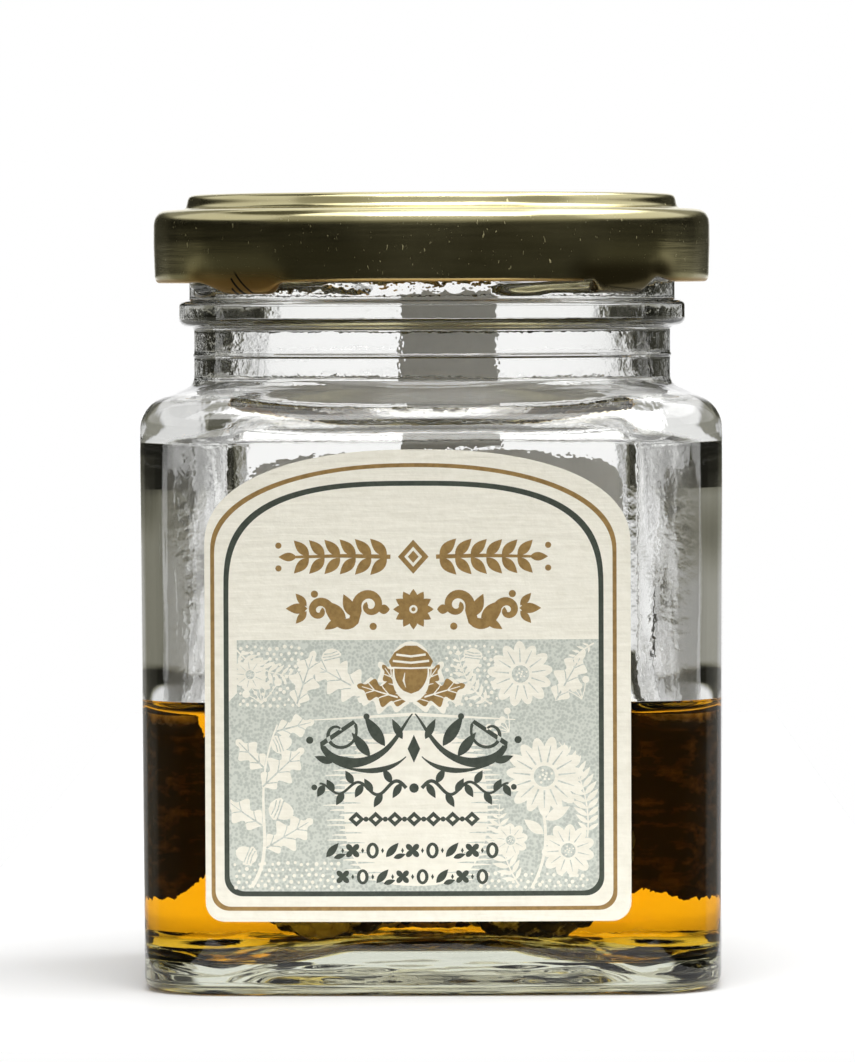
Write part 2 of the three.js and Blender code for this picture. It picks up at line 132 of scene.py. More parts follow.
def rounded_line(points, step=1.2, arc_step=7.0):
    """(u, z, fillet radius) corners to a dense line of (u, z)."""
    pts = [np.array(p[:2], float) for p in points]
    out = [pts[0]]
    for i in range(1, len(pts) - 1):
        a, b, c = pts[i - 1], pts[i], pts[i + 1]
        r = points[i][2]
        d1, d2 = a - b, c - b
        l1, l2 = np.linalg.norm(d1), np.linalg.norm(d2)
        d1, d2 = d1 / l1, d2 / l2
        cosang = float(np.clip(d1 @ d2, -1, 1))
        ang = math.acos(cosang)
        if r <= 0 or ang > math.pi - 1e-3:
            out.append(b)
            continue
        t = r / math.tan(ang / 2)
        lim = 0.49 * min(l1, l2)
        if t > lim:
            t = lim
            r = t * math.tan(ang / 2)
        p, q = b + d1 * t, b + d2 * t
        n = max(2, int(math.degrees(math.pi - ang) / arc_step))
        mid = b + (d1 + d2) / np.linalg.norm(d1 + d2) * (r / math.sin(ang / 2))
        v0, v1 = p - mid, q - mid
        a0 = math.atan2(v0[1], v0[0])
        da = math.atan2(v0[0] * v1[1] - v0[1] * v1[0], float(v0 @ v1))
        for j in range(n + 1):
            th = a0 + da * j / n
            out.append(mid + r * np.array((math.cos(th), math.sin(th))))
    out.append(pts[-1])
    dense = [out[0]]
    for p in out[1:]:
        l = np.linalg.norm(p - dense[-1])
        if l < 1e-5:
            continue
        s = step(p) if callable(step) else step
        n = max(1, int(math.ceil(l / s)))
        last = dense[-1]
        for j in range(1, n + 1):
            dense.append(last + (p - last) * j / n)
    return np.array(dense)


def mesh_object(name, verts, faces, mats=(), index=None, smooth_faces=True, sharp=None):
    me = bpy.data.meshes.new(name)
    me.from_pydata((np.asarray(verts, float) * MM).tolist(), [], faces)
    for m in mats:
        me.materials.append(m)
    if index is not None:
        me.polygons.foreach_set("material_index", np.asarray(index, np.int32))
    me.polygons.foreach_set("use_smooth", np.full(len(me.polygons), smooth_faces))
    me.update()
    if sharp is not None:
        me.set_sharp_from_angle(angle=math.radians(sharp))
    ob = bpy.data.objects.new(name, me)
    scene.collection.objects.link(ob)
    return ob


def grid_faces(rows, cols, wrap_rows=False, wrap_cols=True):
    i = np.arange(rows if wrap_rows else rows - 1)[:, None]
    j = np.arange(cols if wrap_cols else cols - 1)[None, :]
    a = i * cols + j
    b = i * cols + (j + 1) % cols
    c = ((i + 1) % rows) * cols + (j + 1) % cols
    d = ((i + 1) % rows) * cols + j
    return np.stack([a, b, c, d], -1).reshape(-1, 4)


def rings_object(name, rings, mats, caps=True, wrap=False, sharp=None, marks=None):
    """rings: rows x cols x 3. Rows run from the middle of one end to the middle of the other. marks: {name: value per row}."""
    rows, cols = rings.shape[:2]
    verts = rings.reshape(-1, 3)
    faces = grid_faces(rows, cols, wrap_rows=wrap).tolist()
    if caps and not wrap:
        v = len(verts)
        verts = np.vstack([verts, rings[0].mean(0), rings[-1].mean(0)])
        faces += [[v, (j + 1) % cols, j] for j in range(cols)]
        o = (rows - 1) * cols
        faces += [[v + 1, o + j, o + (j + 1) % cols] for j in range(cols)]
    p = verts[np.array([f[:3] for f in faces])]
    vol = np.einsum("ij,ij->i", p[:, 0], np.cross(p[:, 1], p[:, 2])).sum()
    if vol < 0:
        faces = [f[::-1] for f in faces]
    ob = mesh_object(name, verts, faces, mats, sharp=sharp)
    for key, per_row in (marks or {}).items():
        v = np.repeat(np.asarray(per_row, np.float32), cols)
        v = np.concatenate([v, [per_row[0], per_row[-1]][:len(verts) - len(v)]]).astype(np.float32)
        ob.data.attributes.new(key, "FLOAT", "POINT").data.foreach_set("value", v)
    return ob


# ------------------------------------------------------------------ materials
def new_material(name):
    m = bpy.data.materials.new(name)
    m.use_nodes = True
    nt = m.node_tree
    return m, nt, nt.nodes["Principled BSDF"]


def node(nt, kind, **settings):
    n = nt.nodes.new(kind)
    for k, v in settings.items():
        if k.startswith("in_"):
            n.inputs[k[3:].replace("_", " ")].default_value = v
        else:
            setattr(n, k, v)
    return n


def link(nt, a, b):
    nt.links.new(a, b)


def ramp(nt, source, stops, interpolation="LINEAR"):
    r = nt.nodes.new("ShaderNodeValToRGB")
    r.color_ramp.interpolation = interpolation
    el = r.color_ramp.elements
    while len(el) < len(stops):
        el.new(0.5)
    for e, (pos, col) in zip(el, stops):
        e.position = pos
        e.color = (*col, 1.0) if len(col) == 3 else col
    link(nt, source, r.inputs["Fac"])
    return r


def noise_tex(nt, scale, detail=2.0, rough=0.5, vector=None, dist=0.0):
    t = nt.nodes.new("ShaderNodeTexNoise")
    t.inputs["Scale"].default_value = scale
    t.inputs["Detail"].default_value = detail
    t.inputs["Roughness"].default_value = rough
    t.inputs["Distortion"].default_value = dist
    if vector is not None:
        link(nt, vector, t.inputs["Vector"])
    return t


def coords(nt):
    return nt.nodes.new("ShaderNodeTexCoord").outputs["Object"]


def mapping(nt, vector, scale):
    m = nt.nodes.new("ShaderNodeMapping")
    m.inputs["Scale"].default_value = scale
    link(nt, vector, m.inputs["Vector"])
    return m.outputs["Vector"]


def remap(nt, source, a, b, c, d):
    m = nt.nodes.new("ShaderNodeMapRange")
    for k, v in zip(("From Min", "From Max", "To Min", "To Max"), (a, b, c, d)):
        m.inputs[k].default_value = v
    link(nt, source, m.inputs["Value"])
    return m.outputs["Result"]


def bump(nt, height, bsdf, strength, distance, normal=None):
    b = nt.nodes.new("ShaderNodeBump")
    b.inputs["Strength"].default_value = strength
    b.inputs["Distance"].default_value = distance
    link(nt, height, b.inputs["Height"])
    if normal is not None:
        link(nt, normal, b.inputs["Normal"])
    if bsdf is not None:
        link(nt, b.outputs["Normal"], bsdf.inputs["Normal"])
    return b.outputs["Normal"]


def attribute(nt, name):
    a = nt.nodes.new("ShaderNodeAttribute")
    a.attribute_name = name
    return a.outputs["Fac"]


def glass_material():
    m, nt, p = new_material("jar_glass")
    p.inputs["Base Color"].default_value = (1.0, 1.0, 1.0, 1.0)
    p.inputs["Transmission Weight"].default_value = 1.0
    p.inputs["IOR"].default_value = 1.52
    # where the brine wets the wall, light passes from glass into brine and not into air
    link(nt, remap(nt, attribute(nt, "wet"), 0.0, 1.0, 1.52, 1.52 / 1.345), p.inputs["IOR"])
    co = coords(nt)
    fine = noise_tex(nt, 260.0, 3.0, 0.5, co)
    link(nt, remap(nt, fine.outputs["Fac"], 0.5, 0.8, 0.0, 0.02), p.inputs["Roughness"])
    # the outside is smooth, the inside is finely hammered
    inner = attribute(nt, "inner")
    broad = noise_tex(nt, 1.0, 2.0, 0.45, mapping(nt, co, (110.0, 110.0, 20.0)))
    n = bump(nt, broad.outputs["Fac"], None, 0.25, 0.0006)
    grit = noise_tex(nt, 750.0, 2.0, 0.55, co)
    # the side walls are drawn in upright streaks instead
    drawn = noise_tex(nt, 1.0, 2.0, 0.5, mapping(nt, co, (520.0, 520.0, 9.0)))
    sep = nt.nodes.new("ShaderNodeSeparateXYZ")
    link(nt, co, sep.inputs[0])
    far = node(nt, "ShaderNodeMath", operation="ABSOLUTE")
    link(nt, sep.outputs["X"], far.inputs[0])
    kind = node(nt, "ShaderNodeMix", data_type="FLOAT")
    link(nt, remap(nt, far.outputs[0], 0.0275, 0.0295, 0.0, 1.0), kind.inputs["Factor"])
    link(nt, grit.outputs["Fac"], kind.inputs["A"])
    link(nt, drawn.outputs["Fac"], kind.inputs["B"])
    h = node(nt, "ShaderNodeMath", operation="MULTIPLY")
    link(nt, kind.outputs["Result"], h.inputs[0])
    link(nt, inner, h.inputs[1])
    bump(nt, h.outputs[0], p, 0.5, 0.00006, n)
    vol = node(nt, "ShaderNodeVolumeAbsorption")
    vol.inputs["Color"].default_value = (0.78, 0.795, 0.73, 1.0)
    vol.inputs["Density"].default_value = 34.0
    link(nt, vol.outputs[0], nt.nodes["Material Output"].inputs["Volume"])
    return m


def brine_material():
    m, nt, p = new_material("brine")
    p.inputs["Base Color"].default_value = (1.0, 1.0, 1.0, 1.0)
    p.inputs["Transmission Weight"].default_value = 1.0
    p.inputs["IOR"].default_value = 1.345
    p.inputs["Roughness"].default_value = 0.0
    # its skin against the glass has no optical step of its own
    link(nt, remap(nt, attribute(nt, "wetting"), 0.0, 1.0, 1.345, 1.0), p.inputs["IOR"])
    co = coords(nt)
    fine = noise_tex(nt, 160.0, 3.0, 0.5, co)
    c = ramp(nt, fine.outputs["Fac"], [(0.3, (1.0, 0.985, 0.96)), (0.7, (1.0, 1.0, 1.0))])
    link(nt, c.outputs["Color"], p.inputs["Base Color"])
    vol = node(nt, "ShaderNodeVolumeAbsorption")
    vol.inputs["Color"].default_value = (0.985, 0.84, 0.05, 1.0)
    vol.inputs["Density"].default_value = 95.0
    link(nt, vol.outputs[0], nt.nodes["Material Output"].inputs["Volume"])
    return m


CREASE_SHADOWS = [(-22.9, 83.5, -20.4, 80.4, 0.13), (-23.1, 82.3, -21.3, 80.3, 0.15), (-23.0, 81.1, -22.2, 80.35, 0.14), (-22.2, 80.9, -20.9, 80.25, 0.12)]


def gold_material():
    m, nt, p = new_material("gold_tinplate")
    co = coords(nt)
    p.inputs["Metallic"].default_value = 1.0
    tone = noise_tex(nt, 55.0, 4.0, 0.6, co)
    c = ramp(nt, tone.outputs["Fac"], [(0.3, (0.62, 0.56, 0.31)), (0.7, (0.72, 0.66, 0.39))])
    bend = attribute(nt, "bend")
    # painted shade: the gold is darkened round the lugs other than the front left one, where the shade mark is set
    shade = ramp(nt, attribute(nt, "shade"), [(0.0, (1.0, 1.0, 1.0)), (1.0, (0.20, 0.17, 0.14))])
    darker = node(nt, "ShaderNodeMix", data_type="RGBA", blend_type="MULTIPLY")
    darker.inputs["Factor"].default_value = 1.0
    link(nt, c.outputs["Color"], darker.inputs["A"])
    link(nt, shade.outputs["Color"], darker.inputs["B"])
    # painted reflection and shade: where the bend mark is set the gold is tinted amber round the front left lug and
    # browned along the rolled edge between the lugs
    painted_reflection_and_shade = ramp(nt, bend, [(0.0, (1.0, 1.0, 1.0)), (0.5, (0.95, 0.78, 0.58)), (0.97, (0.80, 0.53, 0.27))])
    mixed = node(nt, "ShaderNodeMix", data_type="RGBA", blend_type="MULTIPLY")
    mixed.inputs["Factor"].default_value = 1.0
    link(nt, darker.outputs["Result"], mixed.inputs["A"])
    link(nt, painted_reflection_and_shade.outputs["Color"], mixed.inputs["B"])
    # painted shadows of the creases in the bent lacquer: dark lines mixed into the colour
    total = None
    for x0, z0, x1, z1, wide in CREASE_SHADOWS:
        l = math.hypot(x1 - x0, z1 - z0)
        t, n = ((x1 - x0) / l, (z1 - z0) / l), ((z0 - z1) / l, (x1 - x0) / l)
        across = node(nt, "ShaderNodeVectorMath", operation="DOT_PRODUCT")
        link(nt, co, across.inputs[0])
        across.inputs[1].default_value = (n[0], 0.0, n[1])
        along = node(nt, "ShaderNodeVectorMath", operation="DOT_PRODUCT")
        link(nt, co, along.inputs[0])
        along.inputs[1].default_value = (t[0], 0.0, t[1])
        a0 = t[0] * x0 + t[1] * z0
        # a little bow, and thin ends
        mid = remap(nt, along.outputs["Value"], a0 * MM, (a0 + l) * MM, -1.0, 1.0)
        bow = node(nt, "ShaderNodeMath", operation="MULTIPLY")
        link(nt, mid, bow.inputs[0])
        link(nt, mid, bow.inputs[1])
        off = node(nt, "ShaderNodeMath", operation="ADD")
        link(nt, across.outputs["Value"], off.inputs[0])
        link(nt, remap(nt, bow.outputs[0], 0.0, 1.0, -(n[0] * x0 + n[1] * z0) * MM + 0.07 * l * MM, -(n[0] * x0 + n[1] * z0) * MM), off.inputs[1])
        gap = node(nt, "ShaderNodeMath", operation="ABSOLUTE")
        link(nt, off.outputs[0], gap.inputs[0])
        line = remap(nt, gap.outputs[0], 0.45 * wide * MM, wide * MM, 1.0, 0.0)
        ends = remap(nt, bow.outputs[0], 0.75, 0.99, 1.0, 0.0)
        both = node(nt, "ShaderNodeMath", operation="MULTIPLY")
        link(nt, line, both.inputs[0])
        link(nt, ends, both.inputs[1])
        if total is None:
            total = both.outputs[0]
        else:
            more = node(nt, "ShaderNodeMath", operation="MAXIMUM")
            link(nt, total, more.inputs[0])
            link(nt, both.outputs[0], more.inputs[1])
            total = more.outputs[0]
    only = node(nt, "ShaderNodeMath", operation="MULTIPLY")
    link(nt, total, only.inputs[0])
    link(nt, remap(nt, bend, 0.25, 0.55, 0.0, 1.0), only.inputs[1])
    front = node(nt, "ShaderNodeMath", operation="MULTIPLY")
    side = nt.nodes.new("ShaderNodeSeparateXYZ")
    link(nt, co, side.inputs[0])
    link(nt, only.outputs[0], front.inputs[0])
    link(nt, remap(nt, side.outputs["Y"], -0.002, 0.002, 1.0, 0.0), front.inputs[1])
    crease_shadowed = node(nt, "ShaderNodeMix", data_type="RGBA", blend_type="MIX")
    link(nt, front.outputs[0], crease_shadowed.inputs["Factor"])
    link(nt, mixed.outputs["Result"], crease_shadowed.inputs["A"])
    crease_shadowed.inputs["B"].default_value = (0.018, 0.014, 0.010, 1.0)
    link(nt, crease_shadowed.outputs["Result"], p.inputs["Base Color"])
    # fine handling scratches, mostly running round the skirt
    s1 = noise_tex(nt, 1.0, 3.0, 0.6, mapping(nt, co, (90.0, 90.0, 2600.0)))
    s2 = noise_tex(nt, 1.0, 2.0, 0.5, mapping(nt, co, (2400.0, 300.0, 260.0)))
    r = node(nt, "ShaderNodeMath", operation="ADD")
    link(nt, remap(nt, s1.outputs["Fac"], 0.4, 0.75, 0.155, 0.20), r.inputs[0])
    link(nt, remap(nt, tone.outputs["Fac"], 0.4, 0.7, 0.0, 0.05), r.inputs[1])
    nick = noise_tex(nt, 1.0, 1.0, 0.4, mapping(nt, co, (3900.0, 2300.0, 1500.0)), 0.8)
    speck = remap(nt, nick.outputs["Fac"], 0.735, 0.80, 0.0, 0.38)
    r2 = node(nt, "ShaderNodeMath", operation="ADD")
    link(nt, r.outputs[0], r2.inputs[0])
    link(nt, speck, r2.inputs[1])
    # the strained lacquer is dull
    r3 = node(nt, "ShaderNodeMath", operation="ADD")
    link(nt, r2.outputs[0], r3.inputs[0])
    link(nt, remap(nt, bend, 0.3, 1.0, 0.0, 0.30), r3.inputs[1])
    link(nt, r3.outputs[0], p.inputs["Roughness"])
    dents = noise_tex(nt, 70.0, 2.0, 0.5, co)
    n = bump(nt, dents.outputs["Fac"], None, 0.12, 0.0008)
    n = bump(nt, s2.outputs["Fac"], None, 0.10, 0.00004, n)
    bump(nt, s1.outputs["Fac"], p, 0.18, 0.00004, n)
    return m


def thin_sheet(p):
    """Light soaks through the thin paper."""
    p.inputs["Subsurface Weight"].default_value = 0.6
    p.inputs["Subsurface Radius"].default_value = (1.0, 1.0, 1.0)
    p.inputs["Subsurface Scale"].default_value = 0.0005


def paper_material(name, tone, dark, grain=1.0, thin=False):
    m, nt, p = new_material(name)
    co = coords(nt)
    f = noise_tex(nt, 900.0, 4.0, 0.65, co)
    c = ramp(nt, f.outputs["Fac"], [(0.3, dark), (0.65, tone)])
    link(nt, c.outputs["Color"], p.inputs["Base Color"])
    p.inputs["Roughness"].default_value = 0.7
    p.inputs["Specular IOR Level"].default_value = 0.25
    if thin:
        thin_sheet(p)
    g = noise_tex(nt, 2600.0, 3.0, 0.6, co)
    laid = noise_tex(nt, 1.0, 2.0, 0.6, mapping(nt, co, (150.0, 150.0, 1500.0)))
    tint = node(nt, "ShaderNodeMix", data_type="RGBA", blend_type="MULTIPLY")
    tint.inputs["Factor"].default_value = 1.0
    link(nt, c.outputs["Color"], tint.inputs["A"])
    link(nt, ramp(nt, laid.outputs["Fac"], [(0.35, (0.955, 0.955, 0.95)), (0.6, (1.0, 1.0, 1.0))]).outputs["Color"], tint.inputs["B"])
    link(nt, tint.outputs["Result"], p.inputs["Base Color"])
    n = bump(nt, g.outputs["Fac"], None, 0.35 * grain, 0.00006)
    n = bump(nt, laid.outputs["Fac"], None, 0.5 * grain, 0.00012, n)
    bump(nt, f.outputs["Fac"], p, 0.3 * grain, 0.00012, n)
    return m


def glue_material():
    """The pasted side of the back papers: pale above the brine, and painted near black below its level as shade, with
    faint brown blotches there.
    """
    m, nt, p = new_material("pasted_side")
    co = coords(nt)
    f = noise_tex(nt, 420.0, 4.0, 0.6, co)
    sep = nt.nodes.new("ShaderNodeSeparateXYZ")
    link(nt, co, sep.inputs[0])
    edge = node(nt, "ShaderNodeMath", operation="ADD")
    link(nt, sep.outputs["Z"], edge.inputs[0])
    link(nt, remap(nt, f.outputs["Fac"], 0.3, 0.7, -0.0008, 0.0008), edge.inputs[1])
    # painted shade: near black below the brine's level, pale above it
    tone = ramp(nt, remap(nt, edge.outputs[0], 0.028, 0.036, 0.0, 1.0), [(0.3, (0.020, 0.018, 0.015)), (0.6, (0.92, 0.88, 0.80))])
    tint = node(nt, "ShaderNodeMix", data_type="RGBA", blend_type="MULTIPLY")
    tint.inputs["Factor"].default_value = 1.0
    link(nt, tone.outputs["Color"], tint.inputs["A"])
    link(nt, ramp(nt, f.outputs["Fac"], [(0.3, (0.90, 0.90, 0.89)), (0.6, (1.0, 1.0, 1.0))]).outputs["Color"], tint.inputs["B"])
    # faint brown blotches over the painted shade below the brine's level
    blotch = noise_tex(nt, 1.0, 4.0, 0.6, mapping(nt, co, (240.0, 240.0, 480.0)))
    spots = node(nt, "ShaderNodeMix", data_type="RGBA", blend_type="ADD")
    link(nt, remap(nt, edge.outputs[0], 0.0325, 0.0315, 0.0, 1.0), spots.inputs["Factor"])
    link(nt, tint.outputs["Result"], spots.inputs["A"])
    link(nt, ramp(nt, blotch.outputs["Fac"], [(0.5, (0.0, 0.0, 0.0)), (0.72, (0.11, 0.055, 0.02))]).outputs["Color"], spots.inputs["B"])
    link(nt, spots.outputs["Result"], p.inputs["Base Color"])
    p.inputs["Roughness"].default_value = 0.75
    p.inputs["Specular IOR Level"].default_value = 0.2
    thin_sheet(p)
    bump(nt, f.outputs["Fac"], p, 0.3, 0.0001)
    return m


def ink_material(name, tone, dark, metallic=0.0, rough=0.5):
    m, nt, p = new_material(name)
    co = coords(nt)
    f = noise_tex(nt, 1500.0, 3.0, 0.6, co)
    c = ramp(nt, f.outputs["Fac"], [(0.35, dark), (0.6, tone)])
    link(nt, c.outputs["Color"], p.inputs["Base Color"])
    p.inputs["Metallic"].default_value = metallic
    p.inputs["Roughness"].default_value = rough
    bump(nt, f.outputs["Fac"], p, 0.25, 0.00006)
    return m


def print_material(name, ink, ground, scale=2300.0, cover=0.5):
    """A fine stippled halftone: ink dots on paper."""
    m, nt, p = new_material(name)
    co = coords(nt)
    v = nt.nodes.new("ShaderNodeTexVoronoi")
    v.feature = "F1"
    v.inputs["Scale"].default_value = scale
    link(nt, co, v.inputs["Vector"])
    f = noise_tex(nt, 700.0, 3.0, 0.6, co)
    d = node(nt, "ShaderNodeMath", operation="ADD")
    link(nt, v.outputs["Distance"], d.inputs[0])
    link(nt, remap(nt, f.outputs["Fac"], 0.3, 0.7, -0.12, 0.12), d.inputs[1])
    c = ramp(nt, d.outputs[0], [(cover - 0.16, ink), (cover + 0.16, ground)])
    link(nt, c.outputs["Color"], p.inputs["Base Color"])
    p.inputs["Roughness"].default_value = 0.65
    p.inputs["Specular IOR Level"].default_value = 0.25
    bump(nt, f.outputs["Fac"], p, 0.3, 0.0001)
    return m


def truffle_material():
    m, nt, p = new_material("truffle")
    co = coords(nt)
    f = noise_tex(nt, 300.0, 6.0, 0.65, co)
    g = noise_tex(nt, 1400.0, 4.0, 0.6, co)
    c = ramp(nt, f.outputs["Fac"], [(0.3, (0.008, 0.006, 0.005)), (0.52, (0.030, 0.021, 0.015)), (0.72, (0.085, 0.060, 0.038))])
    # low down on the tubers, near the floor, pale patches are mixed into the dark skin colour
    low = nt.nodes.new("ShaderNodeSeparateXYZ")
    link(nt, co, low.inputs[0])
    h = noise_tex(nt, 230.0, 4.0, 0.6, co)
    share = node(nt, "ShaderNodeMath", operation="MULTIPLY")
    link(nt, remap(nt, low.outputs["Z"], 0.0085, 0.0135, 1.0, 0.0), share.inputs[0])
    link(nt, remap(nt, h.outputs["Fac"], 0.47, 0.56, 0.0, 1.0), share.inputs[1])
    pale_low_patch = node(nt, "ShaderNodeMix", data_type="RGBA", blend_type="MIX")
    link(nt, share.outputs[0], pale_low_patch.inputs["Factor"])
    link(nt, c.outputs["Color"], pale_low_patch.inputs["A"])
    pale_low_patch.inputs["B"].default_value = (0.78, 0.72, 0.52, 1.0)
    link(nt, pale_low_patch.outputs["Result"], p.inputs["Base Color"])
    link(nt, remap(nt, g.outputs["Fac"], 0.3, 0.7, 0.55, 0.85), p.inputs["Roughness"])
    n = bump(nt, f.outputs["Fac"], None, 0.6, 0.0008)
    bump(nt, g.outputs["Fac"], p, 0.5, 0.0002, n)
    return m


def seal_material():
    m, nt, p = new_material("sealing_compound")
    co = coords(nt)
    f = noise_tex(nt, 400.0, 3.0, 0.55, co)
    c = ramp(nt, f.outputs["Fac"], [(0.3, (0.66, 0.62, 0.53)), (0.7, (0.76, 0.72, 0.63))])
    link(nt, c.outputs["Color"], p.inputs["Base Color"])
    p.inputs["Roughness"].default_value = 0.45
    bump(nt, f.outputs["Fac"], p, 0.3, 0.0003)
    return m


GLASS = glass_material()
BRINE = brine_material()
GOLD = gold_material()
PAPER = paper_material("label_paper", (0.865, 0.834, 0.727), (0.81, 0.777, 0.665))
WHITE_PAPER = paper_material("plain_paper", (0.86, 0.83, 0.75), (0.79, 0.76, 0.68), thin=True)
PASTED = glue_material()
GOLD_INK = ink_material("gold_ink", (0.39, 0.245, 0.085), (0.30, 0.185, 0.062), 0.30, 0.45)
GREEN_INK = ink_material("green_ink", (0.050, 0.062, 0.045), (0.034, 0.043, 0.032), 0.0, 0.55)
GREY_PRINT = print_material("grey_print", (0.455, 0.482, 0.432), (0.60, 0.62, 0.555), 3000.0)
TRUFFLE = truffle_material()
SEAL = seal_material()

# ------------------------------------------------------------------ the glass jar
LIFT_K = [0.0, 0.03, 0.09, 0.19, 0.33, 0.52, 0.74, 0.92, 1.0]
LIFT_V = [0.1, 0.35, 0.8, 1.0, 0.9, 0.7, 0.4, 0.15, 0.0]


def waves(x, y, z, seed, size):
    """Smooth unevenness of pressed glass, between about -1 and 1."""
    r = np.random.default_rng(seed)
    out = 0.0
    for _ in range(9):
        d = r.normal(size=3)
        d /= np.linalg.norm(d)
        w = size * r.uniform(0.6, 1.7)
        out = out + np.sin(2 * np.pi * (d[0] * x + d[1] * y + d[2] * z) / w + r.uniform(0, 6.28))
    return out / 3.0


def jar_ring(angles, u, z, inner):
    """One ring of the jar for a point (u, z) of its profile at the middle of a face."""
    if inner:
        half, neck, corner, low = BODY_HALF_TOP - WALL, BORE_R, inner_corner(z), BODY_HALF_LOW - WALL + 0.05
    else:
        half, neck, corner, low = BODY_HALF_TOP, NECK_R, BODY_CORNER, BODY_HALF_LOW
    if z > 60.0:
        if u <= neck + 1e-6 or z > (69.0 if inner else 70.1):
            return np.full_like(angles, u), np.full_like(angles, z)
        k = float(np.clip((half - u) / (half - neck), 0, 1))
        s = square_r(half, corner, angles)
        top = float(square_r(half, corner, np.array([np.pi / 4]))[0])
        c = smooth((s - half) / (top - half))
        fade = float(smooth(np.array((z - 60.0) / 3.0)))
        lift = float(np.interp(k, LIFT_K, LIFT_V)) * fade * (0.8 if inner else 1.0)
        return s + (neck - s) * k, z + lift * c
    here = float(body_half(z)) - (WALL - 0.0 if inner else 0.0)
    inset = max(0.0, (low if z < 12 else here) - u)
    cr = max(corner - inset, min(0.28 * u, corner - 0.6), 0.5)
    return square_r(u, min(cr, u * 0.9), angles), np.full_like(angles, z)


def thread_bump(angles, z):
    """How far the four threads stand out of the finish at height z."""
    deg = np.mod(np.degrees(angles) + 90.0, 90.0)     # from the front, to the right, in each quarter
    out = np.zeros_like(angles)
    for shift in (0.0, 90.0):
        d = deg + shift
        f = (d - THREAD_START) / THREAD_SPAN
        on = (f > 0) & (f < 1)
        fade = np.sqrt(np.clip(1 - np.abs(2 * f - 1) ** 7, 0, 1))
        mid = THREAD_Z + (d - THREAD_START) * THREAD_LEAD / 360 + THREAD_H / 2
        h = THREAD_H / 2 * (0.45 + 0.55 * fade)
        t = np.clip(np.abs(z - mid) / h, 0, 1)
        out = np.maximum(out, np.where(on, (THREAD_R - FINISH_R) * fade * np.sqrt(np.clip(1 - t**2.4, 0, 1)), 0))
    return out


def jar_profiles():
    outer = rounded_line([
        (0.5, 2.0, 0), (19.0, 1.85, 14.0), (26.4, 0.0, 2.2), (BODY_HALF_LOW - 0.02, 0.0, 3.0), (BODY_HALF_LOW, 3.4, 20),
        (BODY_HALF_TOP, 62.0, 60), (BODY_HALF_TOP - 0.05, 67.0, 3.1), (NECK_R, 69.75, 1.5), (NECK_R, 72.9, 0.2), (NECK_R + 0.16, 73.2, 0.25), (NECK_R, 73.5, 0.2),
        (NECK_R, 76.5, 0.5), (29.95, 76.75, 1.2), (29.95, 79.5, 1.2), (FINISH_R, 79.65, 0.35), (FINISH_R, 86.3, 0.8),
        (29.05, 86.9, 0.6), (28.95, 88.3, 1.1), (25.9, 88.3, 1.3), (BORE_R, 86.5, 0.5)],
        step=lambda p: 0.42 if p[1] > 68 else (0.8 if p[1] > 60 or p[1] < 6 else 2.6), arc_step=9.0)
    inner = rounded_line([
        (BORE_R, 86.5, 0), (BORE_R, 68.4, 3.0), (BODY_HALF_TOP - WALL - 0.05, 65.0, 3.6), (BODY_HALF_TOP - WALL, 58.0, 10),
        (BODY_HALF_LOW + 0.05 - WALL, 9.0, 20), (BODY_HALF_LOW + 0.03 - WALL, FLOOR_Z, 4.6), (12.0, FLOOR_Z + 0.1, 8), (0.5, FLOOR_Z + 0.5, 0)],
        step=lambda p: 0.95 if p[1] > 60 or p[1] < 11 else 2.0, arc_step=7.5)
    return outer, inner[1:]


def pocket(angles, u, z):
    """The inner floor is deeper in its corners."""
    corner = smooth((np.abs(np.sin(2 * angles)) - 0.55) / 0.4)
    return 1.5 * corner * float(smooth(np.array((9.5 - z) / 4.0))) * float(smooth(np.array((u - 13.0) / 12.0)))


def add_waves(R, Z, angles, seed, size, amount):
    x, y = R * np.cos(angles), R * np.sin(angles)
    calm = np.where(Z < 66, 1 - 0.85 * smooth((np.abs(np.sin(2 * angles)) - 0.5) / 0.3), 1.0)
    return R + amount * calm * waves(x, y, Z, seed, size)


def jar_object():
    angles = jar_angles(18, 22)
    outer, inner = jar_profiles()
    rows, wet, within = [], [], []
    for u, z in outer:
        wet.append(0.0)
        within.append(0.0)
        R, Z = jar_ring(angles, u, z, False)
        if z > 79.7 and z < 88.0 and u > 28.0:
            R = R + thread_bump(angles, z)
        if 4.0 < z < 69.0:
            fade = min(1.0, (z - 4.0) / 5.0, (69.0 - z) / 4.0)
            R = R - 0.010 * fade * (1 + waves(R * np.cos(angles), R * np.sin(angles), Z, 5, 19.0))
        elif z < 2.4 and u < 25.5:
            Z = Z + 0.13 * min(1.0, (25.5 - u) / 4.0) * waves(R * np.cos(angles), R * np.sin(angles), Z * 0, 57, 8.5)
        rows.append(np.stack([R * np.cos(angles), R * np.sin(angles), Z], -1))
    # two close rows where the brine ends on the wall
    edge = BRINE_Z + 1.6
    at = next(i for i, q in enumerate(inner) if q[1] < edge)
    u = float(np.interp(edge, [inner[at][1], inner[at - 1][1]], [inner[at][0], inner[at - 1][0]]))
    inner = np.vstack([inner[:at], [(u, edge + 0.03), (u, edge - 0.03)], inner[at:]])
    for u, z in inner:
        wet.append(1.0 if z < edge else 0.0)
        within.append(1.0)
        R, Z = jar_ring(angles, u, z, True)
        Z = Z - pocket(angles, u, z)
        if z > 6.5:
            fade = min(1.0, (z - 6.5) / 3.0) * (0.45 if z > 70 else 1.0)
            R = add_waves(R, Z, angles, 12, 15.0, 0.055 * fade)
        elif u > 1.0:
            Z = Z + 0.15 * waves(R * np.cos(angles), R * np.sin(angles), Z * 0, 31, 13.0) * min(1.0, (30 - u) / 6)
        rows.append(np.stack([R * np.cos(angles), R * np.sin(angles), Z], -1))
    return rings_object("glass", np.array(rows), [GLASS], marks={"wet": wet, "inner": within})


jar = jar_object()
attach(jar, "jar")
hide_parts("glass_jar")

